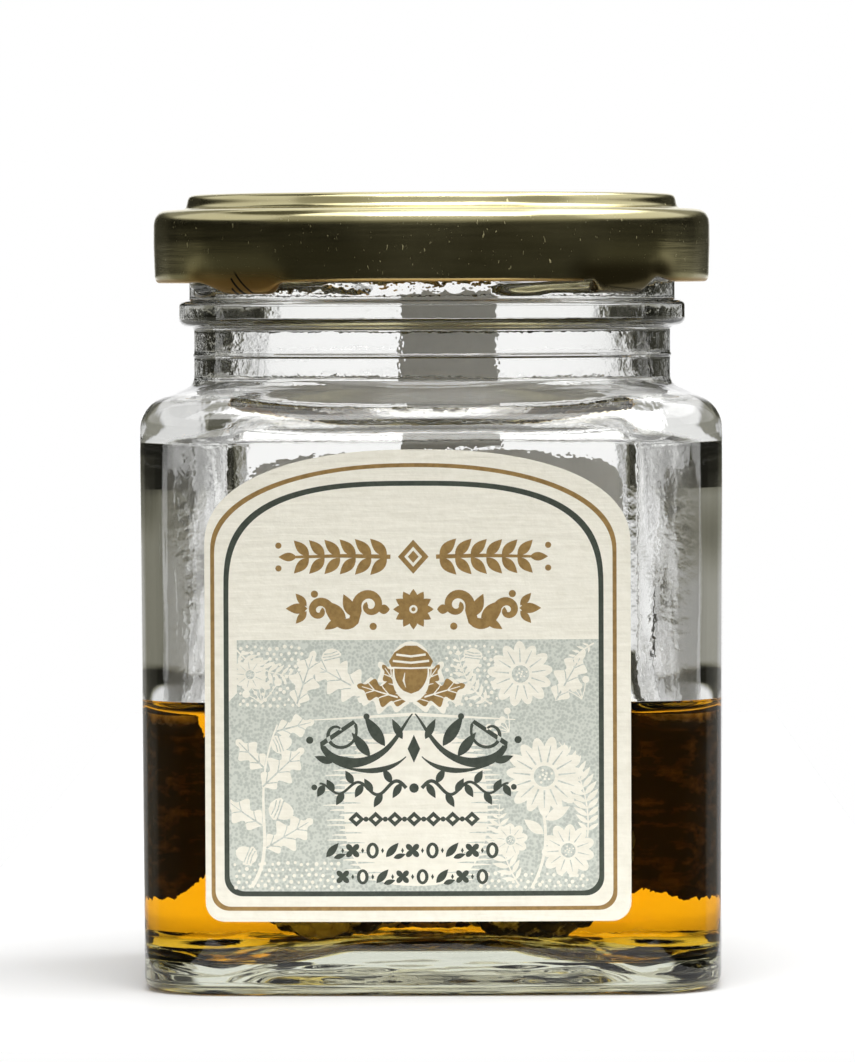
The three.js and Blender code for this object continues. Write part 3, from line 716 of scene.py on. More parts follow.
# ------------------------------------------------------------------ the brine
def brine_object():
    angles = jar_angles(16, 18)
    _, inner = jar_profiles()
    into = 0.12                    # it wets the glass: its skin lies just inside the wall
    side_pts = [(u, z) for u, z in inner if z < BRINE_Z - 1.5]
    rows, wetting = [], []
    # the surface, with the meniscus climbing the wall
    wall = float(body_half(BRINE_Z)) - WALL
    for gap in [wall - 0.3, 25.4, 19.4, 14.4, 10.4, 7.4, 5.4, 3.9, 2.9, 2.1, 1.6, 1.2, 0.9, 0.65, 0.45, 0.3, 0.18]:
        d = wall - gap
        z = BRINE_Z + 1.55 * math.exp(-gap / 1.15)
        R = square_r(d, min(max(inner_corner(z) - gap, 0.3 * d), 0.9 * d), angles)
        rows.append(np.stack([R * np.cos(angles), R * np.sin(angles), np.full_like(angles, z)], -1))
        wetting.append(0.0)
    for z in (BRINE_Z + 1.62, BRINE_Z + 1.4, BRINE_Z + 0.9, BRINE_Z, BRINE_Z - 0.8):
        d = float(body_half(z)) - WALL
        R, Z = jar_ring(angles, d, z, True)
        R = add_waves(R, Z, angles, 12, 15.0, 0.055) + into
        rows.append(np.stack([R * np.cos(angles), R * np.sin(angles), Z], -1))
        wetting.append(1.0)
    for u, z in side_pts:
        R, Z = jar_ring(angles, u, z, True)
        Z = Z - pocket(angles, u, z)
        if z > 6.5:
            R = add_waves(R, Z, angles, 12, 15.0, 0.055 * min(1.0, (z - 6.5) / 3.0)) + into
            Z = Z - into * (1 - min(1.0, (z - 6.5) / 3.0)) * 0.7
        else:
            Z = Z + 0.15 * waves(R * np.cos(angles), R * np.sin(angles), Z * 0, 31, 13.0) * min(1.0, (30 - u) / 6) - into
        rows.append(np.stack([R * np.cos(angles), R * np.sin(angles), Z], -1))
        wetting.append(1.0)
    return rings_object("brine_liquid", np.array(rows), [BRINE], marks={"wetting": wetting})


brine = brine_object()
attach(brine, "jar")
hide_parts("brine")

# ------------------------------------------------------------------ the truffles
TRUFFLES = [
    ("truffle_1", (-12.0, -8.2), (11.2, 11.2, 10.6), 0.4, 3),
    ("truffle_2", (11.7, -9.1), (10.9, 11.6, 11.0), 1.9, 11),
    ("truffle_3", (0.3, 13.6), (12.2, 10.8, 11.6), 3.3, 23),
]


def icosphere(level):
    import bmesh
    bm = bmesh.new()
    bmesh.ops.create_icosphere(bm, subdivisions=level, radius=1.0)
    v = np.array([p.co[:] for p in bm.verts])
    f = [[p.index for p in q.verts] for q in bm.faces]
    bm.free()
    return v / np.linalg.norm(v, axis=1)[:, None], f


def truffle_object(name, at, size, turn, seed, level=7):
    v, faces = icosphere(level)
    lobes = (0.045 * np.sin(3.1 * v[:, 0] + seed) * np.cos(2.7 * v[:, 1] - seed)
             + 0.035 * np.sin(5.3 * v[:, 2] + 4.1 * v[:, 0] + seed * 0.7)
             + 0.02 * np.sin(8.9 * v[:, 1] - 7.3 * v[:, 2] + seed * 1.3))
    p = v * np.array(size) * (1 + lobes - 0.02)[:, None]
    # polygonal warts with a low point each, and grooves between them
    r = np.random.default_rng(seed)
    n = 260
    k = np.arange(n) + 0.5
    ph, th = np.arccos(1 - 2 * k / n), np.pi * (1 + 5**0.5) * k
    seeds = np.stack([np.cos(th) * np.sin(ph), np.sin(th) * np.sin(ph), np.cos(ph)], -1) + r.normal(scale=0.055, size=(n, 3))
    seeds /= np.linalg.norm(seeds, axis=1)[:, None]
    height = np.empty(len(v))
    for i in range(0, len(v), 20000):
        d = np.sort(1 - v[i:i + 20000] @ seeds.T, axis=1)[:, :3]
        d = np.sqrt(np.maximum(d * 2, 0))
        height[i:i + 20000] = np.clip((d[:, 1] - d[:, 0]) / 0.10, 0, 1) * 0.55 + np.clip(1 - d[:, 0] / 0.13, 0, 1) * 0.5
    fine = np.array([noise.fractal(Vector(q * 7.0 + seed), 0.9, 2.1, 4) for q in v])
    p = p * (1 + (height - 0.55) * 0.062 + fine * 0.012)[:, None]
    c, s = math.cos(turn), math.sin(turn)
    p = np.stack([p[:, 0] * c - p[:, 1] * s, p[:, 0] * s + p[:, 1] * c, np.maximum(p[:, 2], -size[2] * 0.95)], -1)
    p[:, 2] += FLOOR_Z + 0.35 - p[:, 2].min()
    p[:, 0] += at[0]
    p[:, 1] += at[1]
    ob = mesh_object(name + "_tuber", p, faces, [TRUFFLE])
    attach(ob, "jar")
    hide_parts(name)
    return ob


for t in TRUFFLES:
    truffle_object(*t, level=7)

# ------------------------------------------------------------------ the lid
LID_R, LID_R_LOW, LID_EDGE_Z, LEDGE_Z, TOP_Z, PANEL_R, SHEET = 32.9, 32.7, 81.7, 90.3, 92.1, 29.15, 0.35


def lid_object():
    T = SHEET
    # [r, z, kind, r at a lug, z at a lug]
    prof = [
        (0.4, 91.78, 0), (8.6, 91.75, 0), (9.6, 91.62, 0), (10.4, 91.42, 0), (11.5, 91.4, 0), (23.4, 91.4, 0), (24.3, 91.5, 0), (24.9, 91.85, 0), (25.5, 92.06, 0), (26.2, TOP_Z, 0),
        (28.0, TOP_Z, 0), (28.45, 92.03, 0), (28.72, 91.85, 0), (28.84, 91.55, 0), (28.92, 91.1, 0), (29.0, 90.7, 0), (29.16, 90.45, 0), (29.5, LEDGE_Z, 0),
        (31.2, LEDGE_Z, 0), (31.75, 90.24, 0), (32.2, 90.02, 0), (32.55, 89.68, 0), (32.78, 89.2, 0), (32.87, 88.6, 0),
        (LID_R - 0.02, 86.4, 1), (LID_R - 0.06, 85.0, 1), (LID_R - 0.08, 84.4, 1), (LID_R - 0.1, 83.8, 1), (LID_R - 0.12, 83.2, 1), (LID_R - 0.13, 82.85, 1),
        (LID_R - 0.14, 82.62, 2, 32.35, 82.0), (LID_R - 0.16, 82.3, 2, 31.95, 81.3), (32.62, 81.92, 2, 31.45, 80.75), (32.34, LID_EDGE_Z, 2, 30.9, 80.38), (32.05, 81.72, 2, 29.8, 80.3),
        (31.85, 81.95, 2, 29.4, 80.45), (31.85, 82.25, 3, 29.38, 0), (32.0, 82.5, 3, 30.6, 0), (32.2, 82.75, 1),
        (LID_R - 0.1 - T, 83.8, 1), (LID_R - 0.08 - T, 84.4, 1), (LID_R - 0.06 - T, 85.0, 1), (LID_R - 0.02 - T, 86.4, 1), (32.5, 88.5, 0), (32.35, 89.2, 0), (32.0, 89.65, 0), (31.3, LEDGE_Z - T, 0),
        (29.2, LEDGE_Z - T, 0), (28.75, 90.5, 0), (28.55, 91.3, 0), (28.0, TOP_Z - T, 0), (25.8, TOP_Z - T, 0), (24.5, 91.4 - T, 0), (11.0, 91.4 - T, 0), (9.4, 91.75 - T, 0), (0.4, 91.78 - T, 0)]
    a = np.array([[p[0], p[1]] for p in prof])
    b = np.array([[p[3] if len(p) > 3 else p[0], p[4] if len(p) > 3 else p[1]] for p in prof])
    kind = np.array([p[2] for p in prof])
    # dense samples along the sheet, then a little smoothing so that no bend is sharp
    def dense(pts, extra):
        out = []
        for i in range(len(pts) - 1):
            n = extra[i]
            for j in range(n):
                out.append(pts[i] + (pts[i + 1] - pts[i]) * j / n)
        out.append(pts[-1])
        return np.array(out)
    seg = np.linalg.norm(np.diff(a, axis=0), axis=1)
    count = [max(2, min(10, int(math.ceil(s / (0.22 if 0 < i < 40 else 1.0))))) for i, s in enumerate(seg)]
    A, K = dense(a, count), []
    for i, n in enumerate(count):
        K += [kind[i] if kind[i] == kind[i + 1] or kind[i] in (2, 3) else min(kind[i], kind[i + 1]) for _ in range(n)]
    K.append(kind[-1])
    K = np.array(K)
    cols = 432
    deg = np.arange(cols) * 360.0 / cols
    near = np.abs(np.mod(deg, 90.0) - 45.0)
    dent = 0.26 * smooth((17.0 - near) / 11.0)
    lug = np.where(np.abs(deg - 317.0) < 30, smooth((13.0 - np.abs(deg - 316.0)) / 7.5), smooth((9.8 - near) / 3.4))
    # the front left lug is pressed in wide; the edge is bent up at the front right one
    rise = 0.62 * smooth((15.0 - np.abs(deg - 47.0)) / 10.0)
    low_top = THREAD_Z + (np.mod(deg, 90.0) - THREAD_START) * THREAD_LEAD / 360 - 0.3
    rings = np.empty((len(A), cols, 2))
    # control rings with their own lug shape, then densified the same way
    ctrl = np.empty((len(a), cols, 2))
    for i in range(len(a)):
        r, z = a[i]
        R, Z = np.full(cols, r), np.full(cols, z)
        if kind[i] == 1:
            R = r - dent * float(smooth(np.array((84.7 - z) / 2.1)))
            Z = z + rise * float(smooth(np.array((85.6 - z) / 3.0)))
        elif kind[i] in (2, 3):
            Zl = low_top - (0.02 if kind[i] == 3 else 0) if kind[i] == 3 else np.full(cols, b[i][1])
            base_r = r - dent * 0.97
            base_z = z + rise
            R = base_r + (b[i][0] - base_r) * lug
            Z = base_z + (Zl - base_z) * lug
        ctrl[i] = np.stack([R, Z], -1)
    out = []
    for i in range(len(a) - 1):
        for j in range(count[i]):
            out.append(ctrl[i] + (ctrl[i + 1] - ctrl[i]) * j / count[i])
    out.append(ctrl[-1])
    out = np.array(out)
    for _ in range(3):
        out[1:-1] = 0.25 * out[:-2] + 0.5 * out[1:-1] + 0.25 * out[2:]
    th = np.radians(deg - 90.0)
    R, Z = out[..., 0], out[..., 1]
    x, y = R * np.cos(th), R * np.sin(th)
    # the sheet is a little uneven
    R = R - 0.012 * (1 + waves(x, y, Z, 44, 16.0)) * (R > 20)
    ob = rings_object("lid", np.stack([R * np.cos(th), R * np.sin(th), Z], -1), [GOLD])
    # where the lugs are pressed in, round the front left one the gold is tinted amber as a painted reflection and round
    # the others it is darkened as painted shade; between the lugs the rolled edge is browned as painted shade
    left = np.abs(deg - 317.0) < 30
    # bend mark: painted amber reflection round the front left lug, then painted shade along the rolled edge between the
    # lugs
    bend = left * smooth((19.0 - near) / 9.0) * smooth((84.0 - Z) / 2.6) * (R > 28)
    bend = np.maximum(bend, 0.85 * smooth((82.3 - Z) / 0.4) * (R > 31.5) * (near > 12))
    shade = 0.9 * (~left) * smooth((19.0 - near) / 8.0) * smooth((85.4 - Z) / 2.6) * (R > 28)
    for key, value in (("bend", bend), ("shade", shade)):
        ob.data.attributes.new(key, "FLOAT", "POINT").data.foreach_set("value", np.concatenate([value.reshape(-1), [0, 0]]).astype(np.float32))
    return ob


lid = lid_object()
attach(lid, "lid")
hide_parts("twist_off_lid")


def gasket_object():
    line = rounded_line([(27.4, 89.5, 0), (27.4, 88.45, 0.35), (31.1, 88.45, 0.35), (31.25, 89.7, 0.3), (28.95, 89.85, 0.4), (28.35, 90.7, 0.4), (27.4, 90.8, 0.3), (27.4, 89.5, 0)], step=0.5)
    cols = 256
    th = np.arange(cols) * 2 * np.pi / cols
    rings = np.stack([line[:-1, 0][:, None] * np.cos(th), line[:-1, 0][:, None] * np.sin(th), np.repeat(line[:-1, 1][:, None], cols, 1)], -1)
    return rings_object("gasket", rings, [SEAL], wrap=True)


gasket = gasket_object()
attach(gasket, "lid")
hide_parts("lid_gasket")

# ------------------------------------------------------------------ paper
def sheet_object(name, inner, outer, mats):
    rows, cols = inner.shape[:2]
    n = rows * cols
    verts = np.vstack([inner.reshape(-1, 3), outer.reshape(-1, 3)])
    g = grid_faces(rows, cols, wrap_cols=False)
    faces = g.tolist() + (g[:, ::-1] + n).tolist()
    edge = [(0, j) for j in range(cols)] + [(i, cols - 1) for i in range(1, rows)] + [(rows - 1, j) for j in range(cols - 2, -1, -1)] + [(i, 0) for i in range(rows - 2, 0, -1)]
    e = [i * cols + j for i, j in edge]
    for a, b in zip(e, e[1:] + e[:1]):
        faces.append([b, a, a + n, b + n])
    verts = np.array(verts)
    p = verts[np.array([f[:3] for f in faces])]
    if np.einsum("ij,ij->i", p[:, 0], np.cross(p[:, 1], p[:, 2])).sum() < 0:
        faces = [f[::-1] for f in faces]
    return mesh_object(name, verts, faces, mats, sharp=35)


STRIP_X, STRIP_HALF = 1.95, 6.4


def strip_object():
    path = rounded_line([(33.12, 80.95, 0), (33.2, 76.0, 30), (33.42, 70.0, 30), (33.62, 65.2, 8), (33.62, 62.15, 0)], step=0.6)
    us = np.linspace(-STRIP_HALF, STRIP_HALF, 25)
    grids = []
    for t in (0.0, 0.11):
        g = np.empty((len(us), len(path), 3))
        for i, u in enumerate(us):
            x = STRIP_X + u
            rnd = math.sqrt((LID_R + 0.3) ** 2 - x * x)
            for j, (y, z) in enumerate(path):
                k = float(smooth(np.array((z - 68) / 12)))
                yy = y * (1 - k) + min(y, rnd) * k - (fall(x) if z < 66 else fall(x) * (1 - k))
                wob = 0.10 * math.sin(z * 0.55 + 1.0) * math.sin(x * 0.35 + 0.5) * float(smooth(np.array((z - 66) / 4))) * float(smooth(np.array((81 - z) / 3)))
                g[i, j] = (x + 0.05 * math.sin(z * 1.9 + i), yy + t + wob, z + (0.25 * math.sin(u * 2.6 + 1) + 0.16 * math.sin(u * 6.1) if j == 0 else 0))
        grids.append(g)
    return sheet_object("guarantee_strip", grids[0], grids[1], [WHITE_PAPER])


strip = strip_object()
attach(strip, "jar")
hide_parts("seal_strip")


def lid_strip_object():
    face = [(32.80, 82.95), (32.83, 84.4), (32.86, 86.4), (32.87, 88.6), (32.80, 89.2), (32.55, 89.72), (32.2, 90.06), (31.75, 90.27), (31.2, 90.32), (29.95, 90.32),
            (29.5, 90.42), (29.22, 90.64), (29.08, 91.0), (28.95, 91.42), (28.68, 91.84), (28.27, 92.05), (27.7, 92.12), (25.4, 92.12)]
    pts = [np.array(face[0])]
    for p in face[1:]:
        p = np.array(p)
        n = max(1, int(np.linalg.norm(p - pts[-1]) / 0.4))
        last = pts[-1]
        pts += [last + (p - last) * j / n for j in range(1, n + 1)]
    pts = np.array(pts)
    for _ in range(2):
        pts[1:-1] = 0.25 * pts[:-2] + 0.5 * pts[1:-1] + 0.25 * pts[2:]
    tan = np.gradient(pts, axis=0)
    tan /= np.linalg.norm(tan, axis=1)[:, None]
    nrm = np.stack([tan[:, 1], -tan[:, 0]], -1)
    us = np.linspace(-STRIP_HALF, STRIP_HALF, 25)
    grids = []
    for t in (0.02, 0.13):
        q = pts + nrm * t
        g = np.empty((len(us), len(q), 3))
        for i, u in enumerate(us):
            x = STRIP_X + u
            g[i, :, 0] = x
            g[i, :, 1] = np.sqrt(np.maximum(q[:, 0] ** 2 - x * x, 0))
            g[i, :, 2] = q[:, 1]
            g[i, 0, 2] += 0.25 * math.sin(u * 2.6 + 1) + 0.16 * math.sin(u * 6.1)
        grids.append(g)
    return sheet_object("strip_on_lid", grids[0], grids[1], [WHITE_PAPER])


lid_strip = lid_strip_object()
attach(lid_strip, "lid")
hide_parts("seal_strip_lid_end")

FRONT = dict(x=-1.55, half=24.35, low=8.6, top=62.6, corner=2.2)
BACK = dict(x=0.9, half=24.95, low=7.6, high=61.8, corner=5.5)


def arch(x, half, low, top, rise, power, corner, steps=60):
    """An upright panel with a flat-arched top: half wide either side of x, its arch rise high and of the given power."""
    pts = []
    for i in range(9):
        a = -math.pi / 2 + math.pi / 2 * i / 8
        pts.append((x + half - corner + corner * math.cos(a), low + corner + corner * math.sin(a)))
    for i in range(steps + 1):
        a = math.pi * i / steps
        c, q = math.cos(a), math.sin(a)
        pts.append((x + half * math.copysign(abs(c) ** (2 / power), c), top - rise + rise * q ** (2 / power)))
    for i in range(9):
        a = math.pi + math.pi / 2 * i / 8
        pts.append((x - half + corner + corner * math.cos(a), low + corner + corner * math.sin(a)))
    return pts


def evenly(poly, step=1.3):
    """The closed outline with points no further apart than step, so that it follows the bulge of the face."""
    out = []
    for p, q in zip(poly, poly[1:] + poly[:1]):
        n = max(1, int(math.ceil(math.dist(p, q) / step)))
        out += [(p[0] + (q[0] - p[0]) * k / n, p[1] + (q[1] - p[1]) * k / n) for k in range(n)]
    return out


def inside(points, poly):
    x, y = points[:, 0], points[:, 1]
    q = np.array(poly)
    hit = np.zeros(len(points), bool)
    j = len(q) - 1
    for i in range(len(q)):
        c = (q[i, 1] > y) != (q[j, 1] > y)
        with np.errstate(divide="ignore", invalid="ignore"):
            hit ^= c & (x < (q[j, 0] - q[i, 0]) * (y - q[i, 1]) / (q[j, 1] - q[i, 1]) + q[i, 0])
        j = i
    return hit


def on_face(x, z, side, out):
    return side * (body_half(z) - fall(x) + out)


def label_object(name, outline, layers, side, thick, mats, embed=0.03, grid=1.6, rear_mat=0):
    """A paper label on a bulged face. layers are (polygon, material index), later ones on top."""
    outline = evenly(outline)
    layers = [(evenly(p), m) for p, m in layers]
    pts = [Vector(p) for p in outline]
    polys = [list(range(len(outline)))]
    for poly, _ in layers:
        polys.append(list(range(len(pts), len(pts) + len(poly))))
        pts += [Vector(p) for p in poly]
    o = np.array(outline)
    gx = np.arange(o[:, 0].min() + grid / 2, o[:, 0].max(), grid)
    gz = np.arange(o[:, 1].min() + grid / 2, o[:, 1].max(), grid)
    g = np.array([(x, z) for x in gx for z in gz])
    g = g[inside(g, outline)]
    pts += [Vector(p) for p in g]
    v, e, f, *_ = geometry.delaunay_2d_cdt(pts, [], polys, 1, 1e-4, False)
    v = np.array([q[:] for q in v])
    f = [list(q) for q in f]
    centre = np.array([v[q].mean(0) for q in f])
    keep = inside(centre, outline)
    index = np.zeros(len(f), int)
    order = np.argsort(centre[:, 0])
    cx = centre[order, 0]
    for poly, m in layers:
        q = np.array(poly)
        near = order[np.searchsorted(cx, q[:, 0].min()):np.searchsorted(cx, q[:, 0].max())]
        near = near[(centre[near, 1] > q[:, 1].min()) & (centre[near, 1] < q[:, 1].max())]
        if len(near):
            index[near[inside(centre[near], poly)]] = m
    f = [q for q, k in zip(f, keep) if k]
    index = index[keep]
    n = len(v)
    front = np.stack([v[:, 0], on_face(v[:, 0], v[:, 1], side, thick), v[:, 1]], -1)
    rear = np.stack([v[:, 0], on_face(v[:, 0], v[:, 1], side, -embed), v[:, 1]], -1)
    tri = np.array([q[:3] for q in f])
    nrm = np.cross(front[tri[:, 1]] - front[tri[:, 0]], front[tri[:, 2]] - front[tri[:, 0]])
    if nrm[:, 1].sum() * side < 0:
        f = [q[::-1] for q in f]
    count = {}
    for q in f:
        for a, b in zip(q, q[1:] + q[:1]):
            count[(a, b)] = count.get((a, b), 0) + 1
    rim = [(a, b) for (a, b) in count if (b, a) not in count]
    faces = f + [[i + n for i in q[::-1]] for q in f] + [[b, a, a + n, b + n] for a, b in rim]
    mi = list(index) + [rear_mat] * len(f) + [0] * len(rim)
    return mesh_object(name, np.vstack([front, rear]), faces, mats, index=mi, sharp=40)


def ellipse(cx, cz, a, b, turn=0.0, n=20):
    c, s = math.cos(turn), math.sin(turn)
    return [(cx + a * math.cos(t) * c - b * math.sin(t) * s, cz + a * math.cos(t) * s + b * math.sin(t) * c)
            for t in (2 * math.pi * i / n for i in range(n))]


def leaf(x, z, length, width, turn, n=9):
    """A pointed leaf from (x, z) in the direction turn."""
    c, s = math.cos(turn), math.sin(turn)
    top = [(length * i / n, width / 2 * math.sin(math.pi * (i / n) ** 0.85)) for i in range(n + 1)]
    low = [(p, -q) for p, q in reversed(top[1:-1])]
    return [(x + p * c - q * s, z + p * s + q * c) for p, q in top + low]


def stroke(points, widths):
    """A brush line through points with its own width at each."""
    p = np.array(points, float)
    w = np.broadcast_to(np.array(widths, float), (len(p),))
    t = np.gradient(p, axis=0)
    t /= np.maximum(np.linalg.norm(t, axis=1), 1e-9)[:, None]
    nrm = np.stack([-t[:, 1], t[:, 0]], -1)
    a, b = p + nrm * w[:, None] / 2, p - nrm * w[:, None] / 2
    return [tuple(q) for q in a] + [tuple(q) for q in b[::-1]]


def diamond(x, z, a, b):
    return [(x + a, z), (x, z + b), (x - a, z), (x, z - b)]


def curve(p0, p1, p2, p3, n=24):
    """Points along a cubic curve."""
    t = np.linspace(0, 1, n)[:, None]
    p0, p1, p2, p3 = (np.array(p, float) for p in (p0, p1, p2, p3))
    return (1 - t) ** 3 * p0 + 3 * (1 - t) ** 2 * t * p1 + 3 * (1 - t) * t**2 * p2 + t**3 * p3


def swell(n, thin, thick, peak=0.5):
    """Pen widths that swell towards peak and thin out at both ends."""
    t = np.linspace(0, 1, n)
    u = np.where(t < peak, t / peak, (1 - t) / (1 - peak))
    return thin + (thick - thin) * np.sin(np.pi / 2 * u) ** 1.5


def spiral(x, z, r0, r1, start, turns, n=40):
    a = start + 2 * math.pi * turns * np.linspace(0, 1, n)
    r = r0 + (r1 - r0) * np.linspace(0, 1, n) ** 0.85
    return np.stack([x + r * np.cos(a), z + r * np.sin(a)], -1)


def mirrored(polys, x):
    return [[(2 * x - p, q) for p, q in poly][::-1] for poly in polys]


def disc(x, z, r, n=12):
    return ellipse(x, z, r, r, 0.0, n)


def oak_leaf(x, z, length, width, turn, lobes=3, n=44):
    """A lobed leaf from its foot at (x, z)."""
    c, s = math.cos(turn), math.sin(turn)
    t = np.linspace(0, 1, n)
    body = np.sin(np.pi * t**0.9) ** 0.75
    w = width / 2 * body * (0.74 + 0.30 * np.cos(2 * np.pi * (lobes + 0.5) * t + np.pi))
    top = [(length * a, b) for a, b in zip(t, w)]
    low = [(p, -q) for p, q in reversed(top[1:-1])]
    return [(x + p * c - q * s, z + p * s + q * c) for p, q in top + low]


def oak_veins(x, z, length, width, turn, lobes=3, thick=0.16):
    c, s = math.cos(turn), math.sin(turn)

    def place(line):
        return [(x + p * c - q * s, z + p * s + q * c) for p, q in line]
    out = [place(stroke([(length * 0.02, 0), (length * 0.45, 0.02), (length * 0.9, 0)], [thick * 1.3, thick, thick * 0.5]))]
    for k in range(lobes):
        f = (k + 0.75) / (lobes + 0.6)
        for sg in (1, -1):
            out.append(place(stroke([(length * (f - 0.10), 0.05 * sg), (length * (f + 0.02), width * 0.17 * sg), (length * (f + 0.08), width * 0.29 * sg)], [thick * 0.8, thick * 0.7, thick * 0.4])))
    return out


def acorn(x, z, size, turn):
    """(nut, cup, cup rings) of an acorn that hangs from (x, z) in the direction turn."""
    c, s = math.cos(turn), math.sin(turn)

    def place(line):
        return [(x + p * c - q * s, z + p * s + q * c) for p, q in line]
    t = np.linspace(0, 1, 14)
    half = size * 0.34 * np.sqrt(np.clip(1 - ((t - 0.35) / 0.65) ** 2, 0, 1)) ** 1.1
    nut = [(size * (0.28 + 0.72 * a), b) for a, b in zip(t, half)] + [(size * (0.28 + 0.72 * a), -b) for a, b in list(zip(t, half))[::-1][1:]]
    cup = [(size * 0.02, -size * 0.12), (size * 0.16, -size * 0.34), (size * 0.34, -size * 0.45), (size * 0.45, -size * 0.40),
           (size * 0.47, 0), (size * 0.45, size * 0.40), (size * 0.34, size * 0.45), (size * 0.16, size * 0.34), (size * 0.02, size * 0.12)]
    rings = [stroke([(size * f, -size * w), (size * (f + 0.04), 0), (size * f, size * w)], size * 0.045) for f, w in ((0.20, 0.30), (0.33, 0.37))]
    return place(nut), place(cup), [place(r) for r in rings]


def daisy(x, z, r, petals, turn=0.0, wide=1.0):
    """(petals, petal creases, eye, eye dots) of an open flower."""
    out, creases = [], []
    for k in range(petals):
        a = turn + 2 * math.pi * k / petals
        d = r * (0.60 + 0.03 * math.sin(k * 2.4))
        w = r * math.sin(math.pi / petals) * 0.82 * wide
        out.append(ellipse(x + d * math.cos(a), z + d * math.sin(a), r * 0.40, w, a, 18))
        creases.append(stroke([(x + r * f * math.cos(a), z + r * f * math.sin(a)) for f in (0.36, 0.6, 0.80)], [r * 0.045, r * 0.035, r * 0.015]))
    eye = disc(x, z, r * 0.27, 18)
    dots = [disc(x + r * q * math.cos(2.4 * k), z + r * q * math.sin(2.4 * k), r * 0.035, 6) for k, q in enumerate(np.linspace(0.03, 0.20, 9))]
    return out, creases, eye, dots


def fern(x, z, length, width, turn, n=9, bend=0.5):
    """A stem with pairs of narrow leaflets."""
    out, pts = [], []
    for k in range(n + 2):
        f = k / (n + 1)
        a = turn + bend * (f - 0.5)
        pts.append((x + length * f * math.cos(a), z + length * f * math.sin(a)))
    out.append(stroke(pts, np.linspace(0.20, 0.08, len(pts))))
    for k in range(1, n + 1):
        f = k / (n + 1)
        a = turn + bend * (f - 0.5) + bend * f
        l = width / 2 * math.sin(math.pi * (0.18 + 0.80 * f)) ** 0.8
        for sg in (1, -1):
            out.append(leaf(pts[k][0], pts[k][1], l, l * 0.30, a + sg * 0.95, 6))
    return out


def berries(x, z, turn, n=5, size=0.42, reach=2.2):
    out = []
    for k in range(n):
        a = turn + (k - (n - 1) / 2) * 0.42
        l = reach * (0.78 + 0.22 * math.cos(k * 2.1))
        out.append(stroke([(x, z), (x + l * 0.5 * math.cos(a - 0.08), z + l * 0.5 * math.sin(a - 0.08)), (x + l * math.cos(a), z + l * math.sin(a))], 0.11))
        out.append(disc(x + l * math.cos(a), z + l * math.sin(a), size, 10))
    return out


PAPER_I, GOLD_I, GREEN_I, PRINT_I = 0, 1, 2, 3
PX = -2.02             # the printing stands a little left of the middle of the paper
layers = []


def add(polys, index):
    for poly in polys:
        layers.append((poly, index))


# the two border lines
layers.append((arch(PX, 23.21, 9.87, 61.04, 9.95, 2.2, 2.0), GOLD_I))
layers.append((arch(PX, 22.75, 10.33, 60.58, 9.85, 2.2, 1.8), PAPER_I))
layers.append((arch(PX, 21.71, 11.52, 59.02, 12.5, 2.85, 2.1), GREEN_I))
inner_frame = arch(PX, 21.14, 12.09, 58.45, 12.4, 2.85, 1.8)
layers.append((inner_frame, PAPER_I))

# first row: a gold laurel bar
R1, half_row = 50.35, []
half_row.append(stroke([(PX + 2.6, R1), (PX + 8, R1 + 0.12), (PX + 13.4, R1)], [0.5, 0.42, 0.3]))
for k in range(6):
    x = PX + 3.0 + k * 1.78
    l = 2.75 - 0.05 * k
    half_row.append(leaf(x, R1 + 0.1, l, 1.22 - 0.02 * k, 0.80, 9))
    half_row.append(leaf(x, R1 - 0.1, l, 1.22 - 0.02 * k, -0.80, 9))
half_row.append(leaf(PX + 13.3, R1, 2.1, 1.0, 0.0, 8))
half_row.append(disc(PX + 15.4, R1 + 1.3, 0.36))
half_row.append(disc(PX + 15.4, R1 - 1.3, 0.36))
add(half_row + mirrored(half_row, PX), GOLD_I)
add([diamond(PX, R1, 1.75, 1.95)], GOLD_I)
add([diamond(PX, R1, 1.02, 1.15)], PAPER_I)
add([diamond(PX, R1, 0.62, 0.7)], GOLD_I)

# second row: a rosette between scrolls
R2, half_row = 44.35, []
for k in range(12):
    a = 2 * math.pi * k / 12
    add([leaf(PX + 0.7 * math.cos(a), R2 + 0.7 * math.sin(a), 1.62, 0.95, a, 7)], GOLD_I)
add([disc(PX, R2, 0.95, 16)], GOLD_I)
add([disc(PX, R2, 0.48, 14)], PAPER_I)
add([disc(PX, R2, 0.24, 10)], GOLD_I)
big = np.vstack([spiral(PX + 5.0, R2 + 0.45, 0.28, 1.55, 0.6, -1.15, 34), curve((PX + 6.1, R2 - 0.65), (PX + 7.3, R2 - 2.2), (PX + 8.6, R2 - 2.0), (PX + 9.5, R2 - 0.1), 16)[3:],
                 spiral(PX + 10.75, R2 - 0.15, 1.3, 0.25, math.pi * 0.98, -1.1, 30)[1:]])
half_row.append(stroke(big, np.interp(np.linspace(0, 1, len(big)), [0, 0.25, 0.5, 0.75, 1], [0.5, 0.85, 1.25, 0.85, 0.5])))
half_row.append(leaf(PX + 2.7, R2, 1.5, 1.1, 0.0, 8))
half_row.append(leaf(PX + 6.8, R2 - 0.9, 2.9, 1.3, 1.15, 9))
half_row.append(leaf(PX + 8.2, R2 - 1.1, 2.3, 1.0, -0.55, 8))
half_row.append(leaf(PX + 7.7, R2 - 1.05, 3.0, 1.15, 0.72, 8))
half_row.append(disc(PX + 4.6, R2 - 1.95, 0.42))
half_row.append(disc(PX + 11.3, R2 + 1.75, 0.42))
half_row.append(leaf(PX + 12.1, R2 + 0.1, 2.5, 1.2, 0.0, 8))
half_row.append(leaf(PX + 12.2, R2 + 0.4, 1.9, 0.85, 0.85, 8))
half_row.append(leaf(PX + 12.2, R2 - 0.2, 1.9, 0.85, -0.85, 8))
add(half_row + mirrored(half_row, PX), GOLD_I)

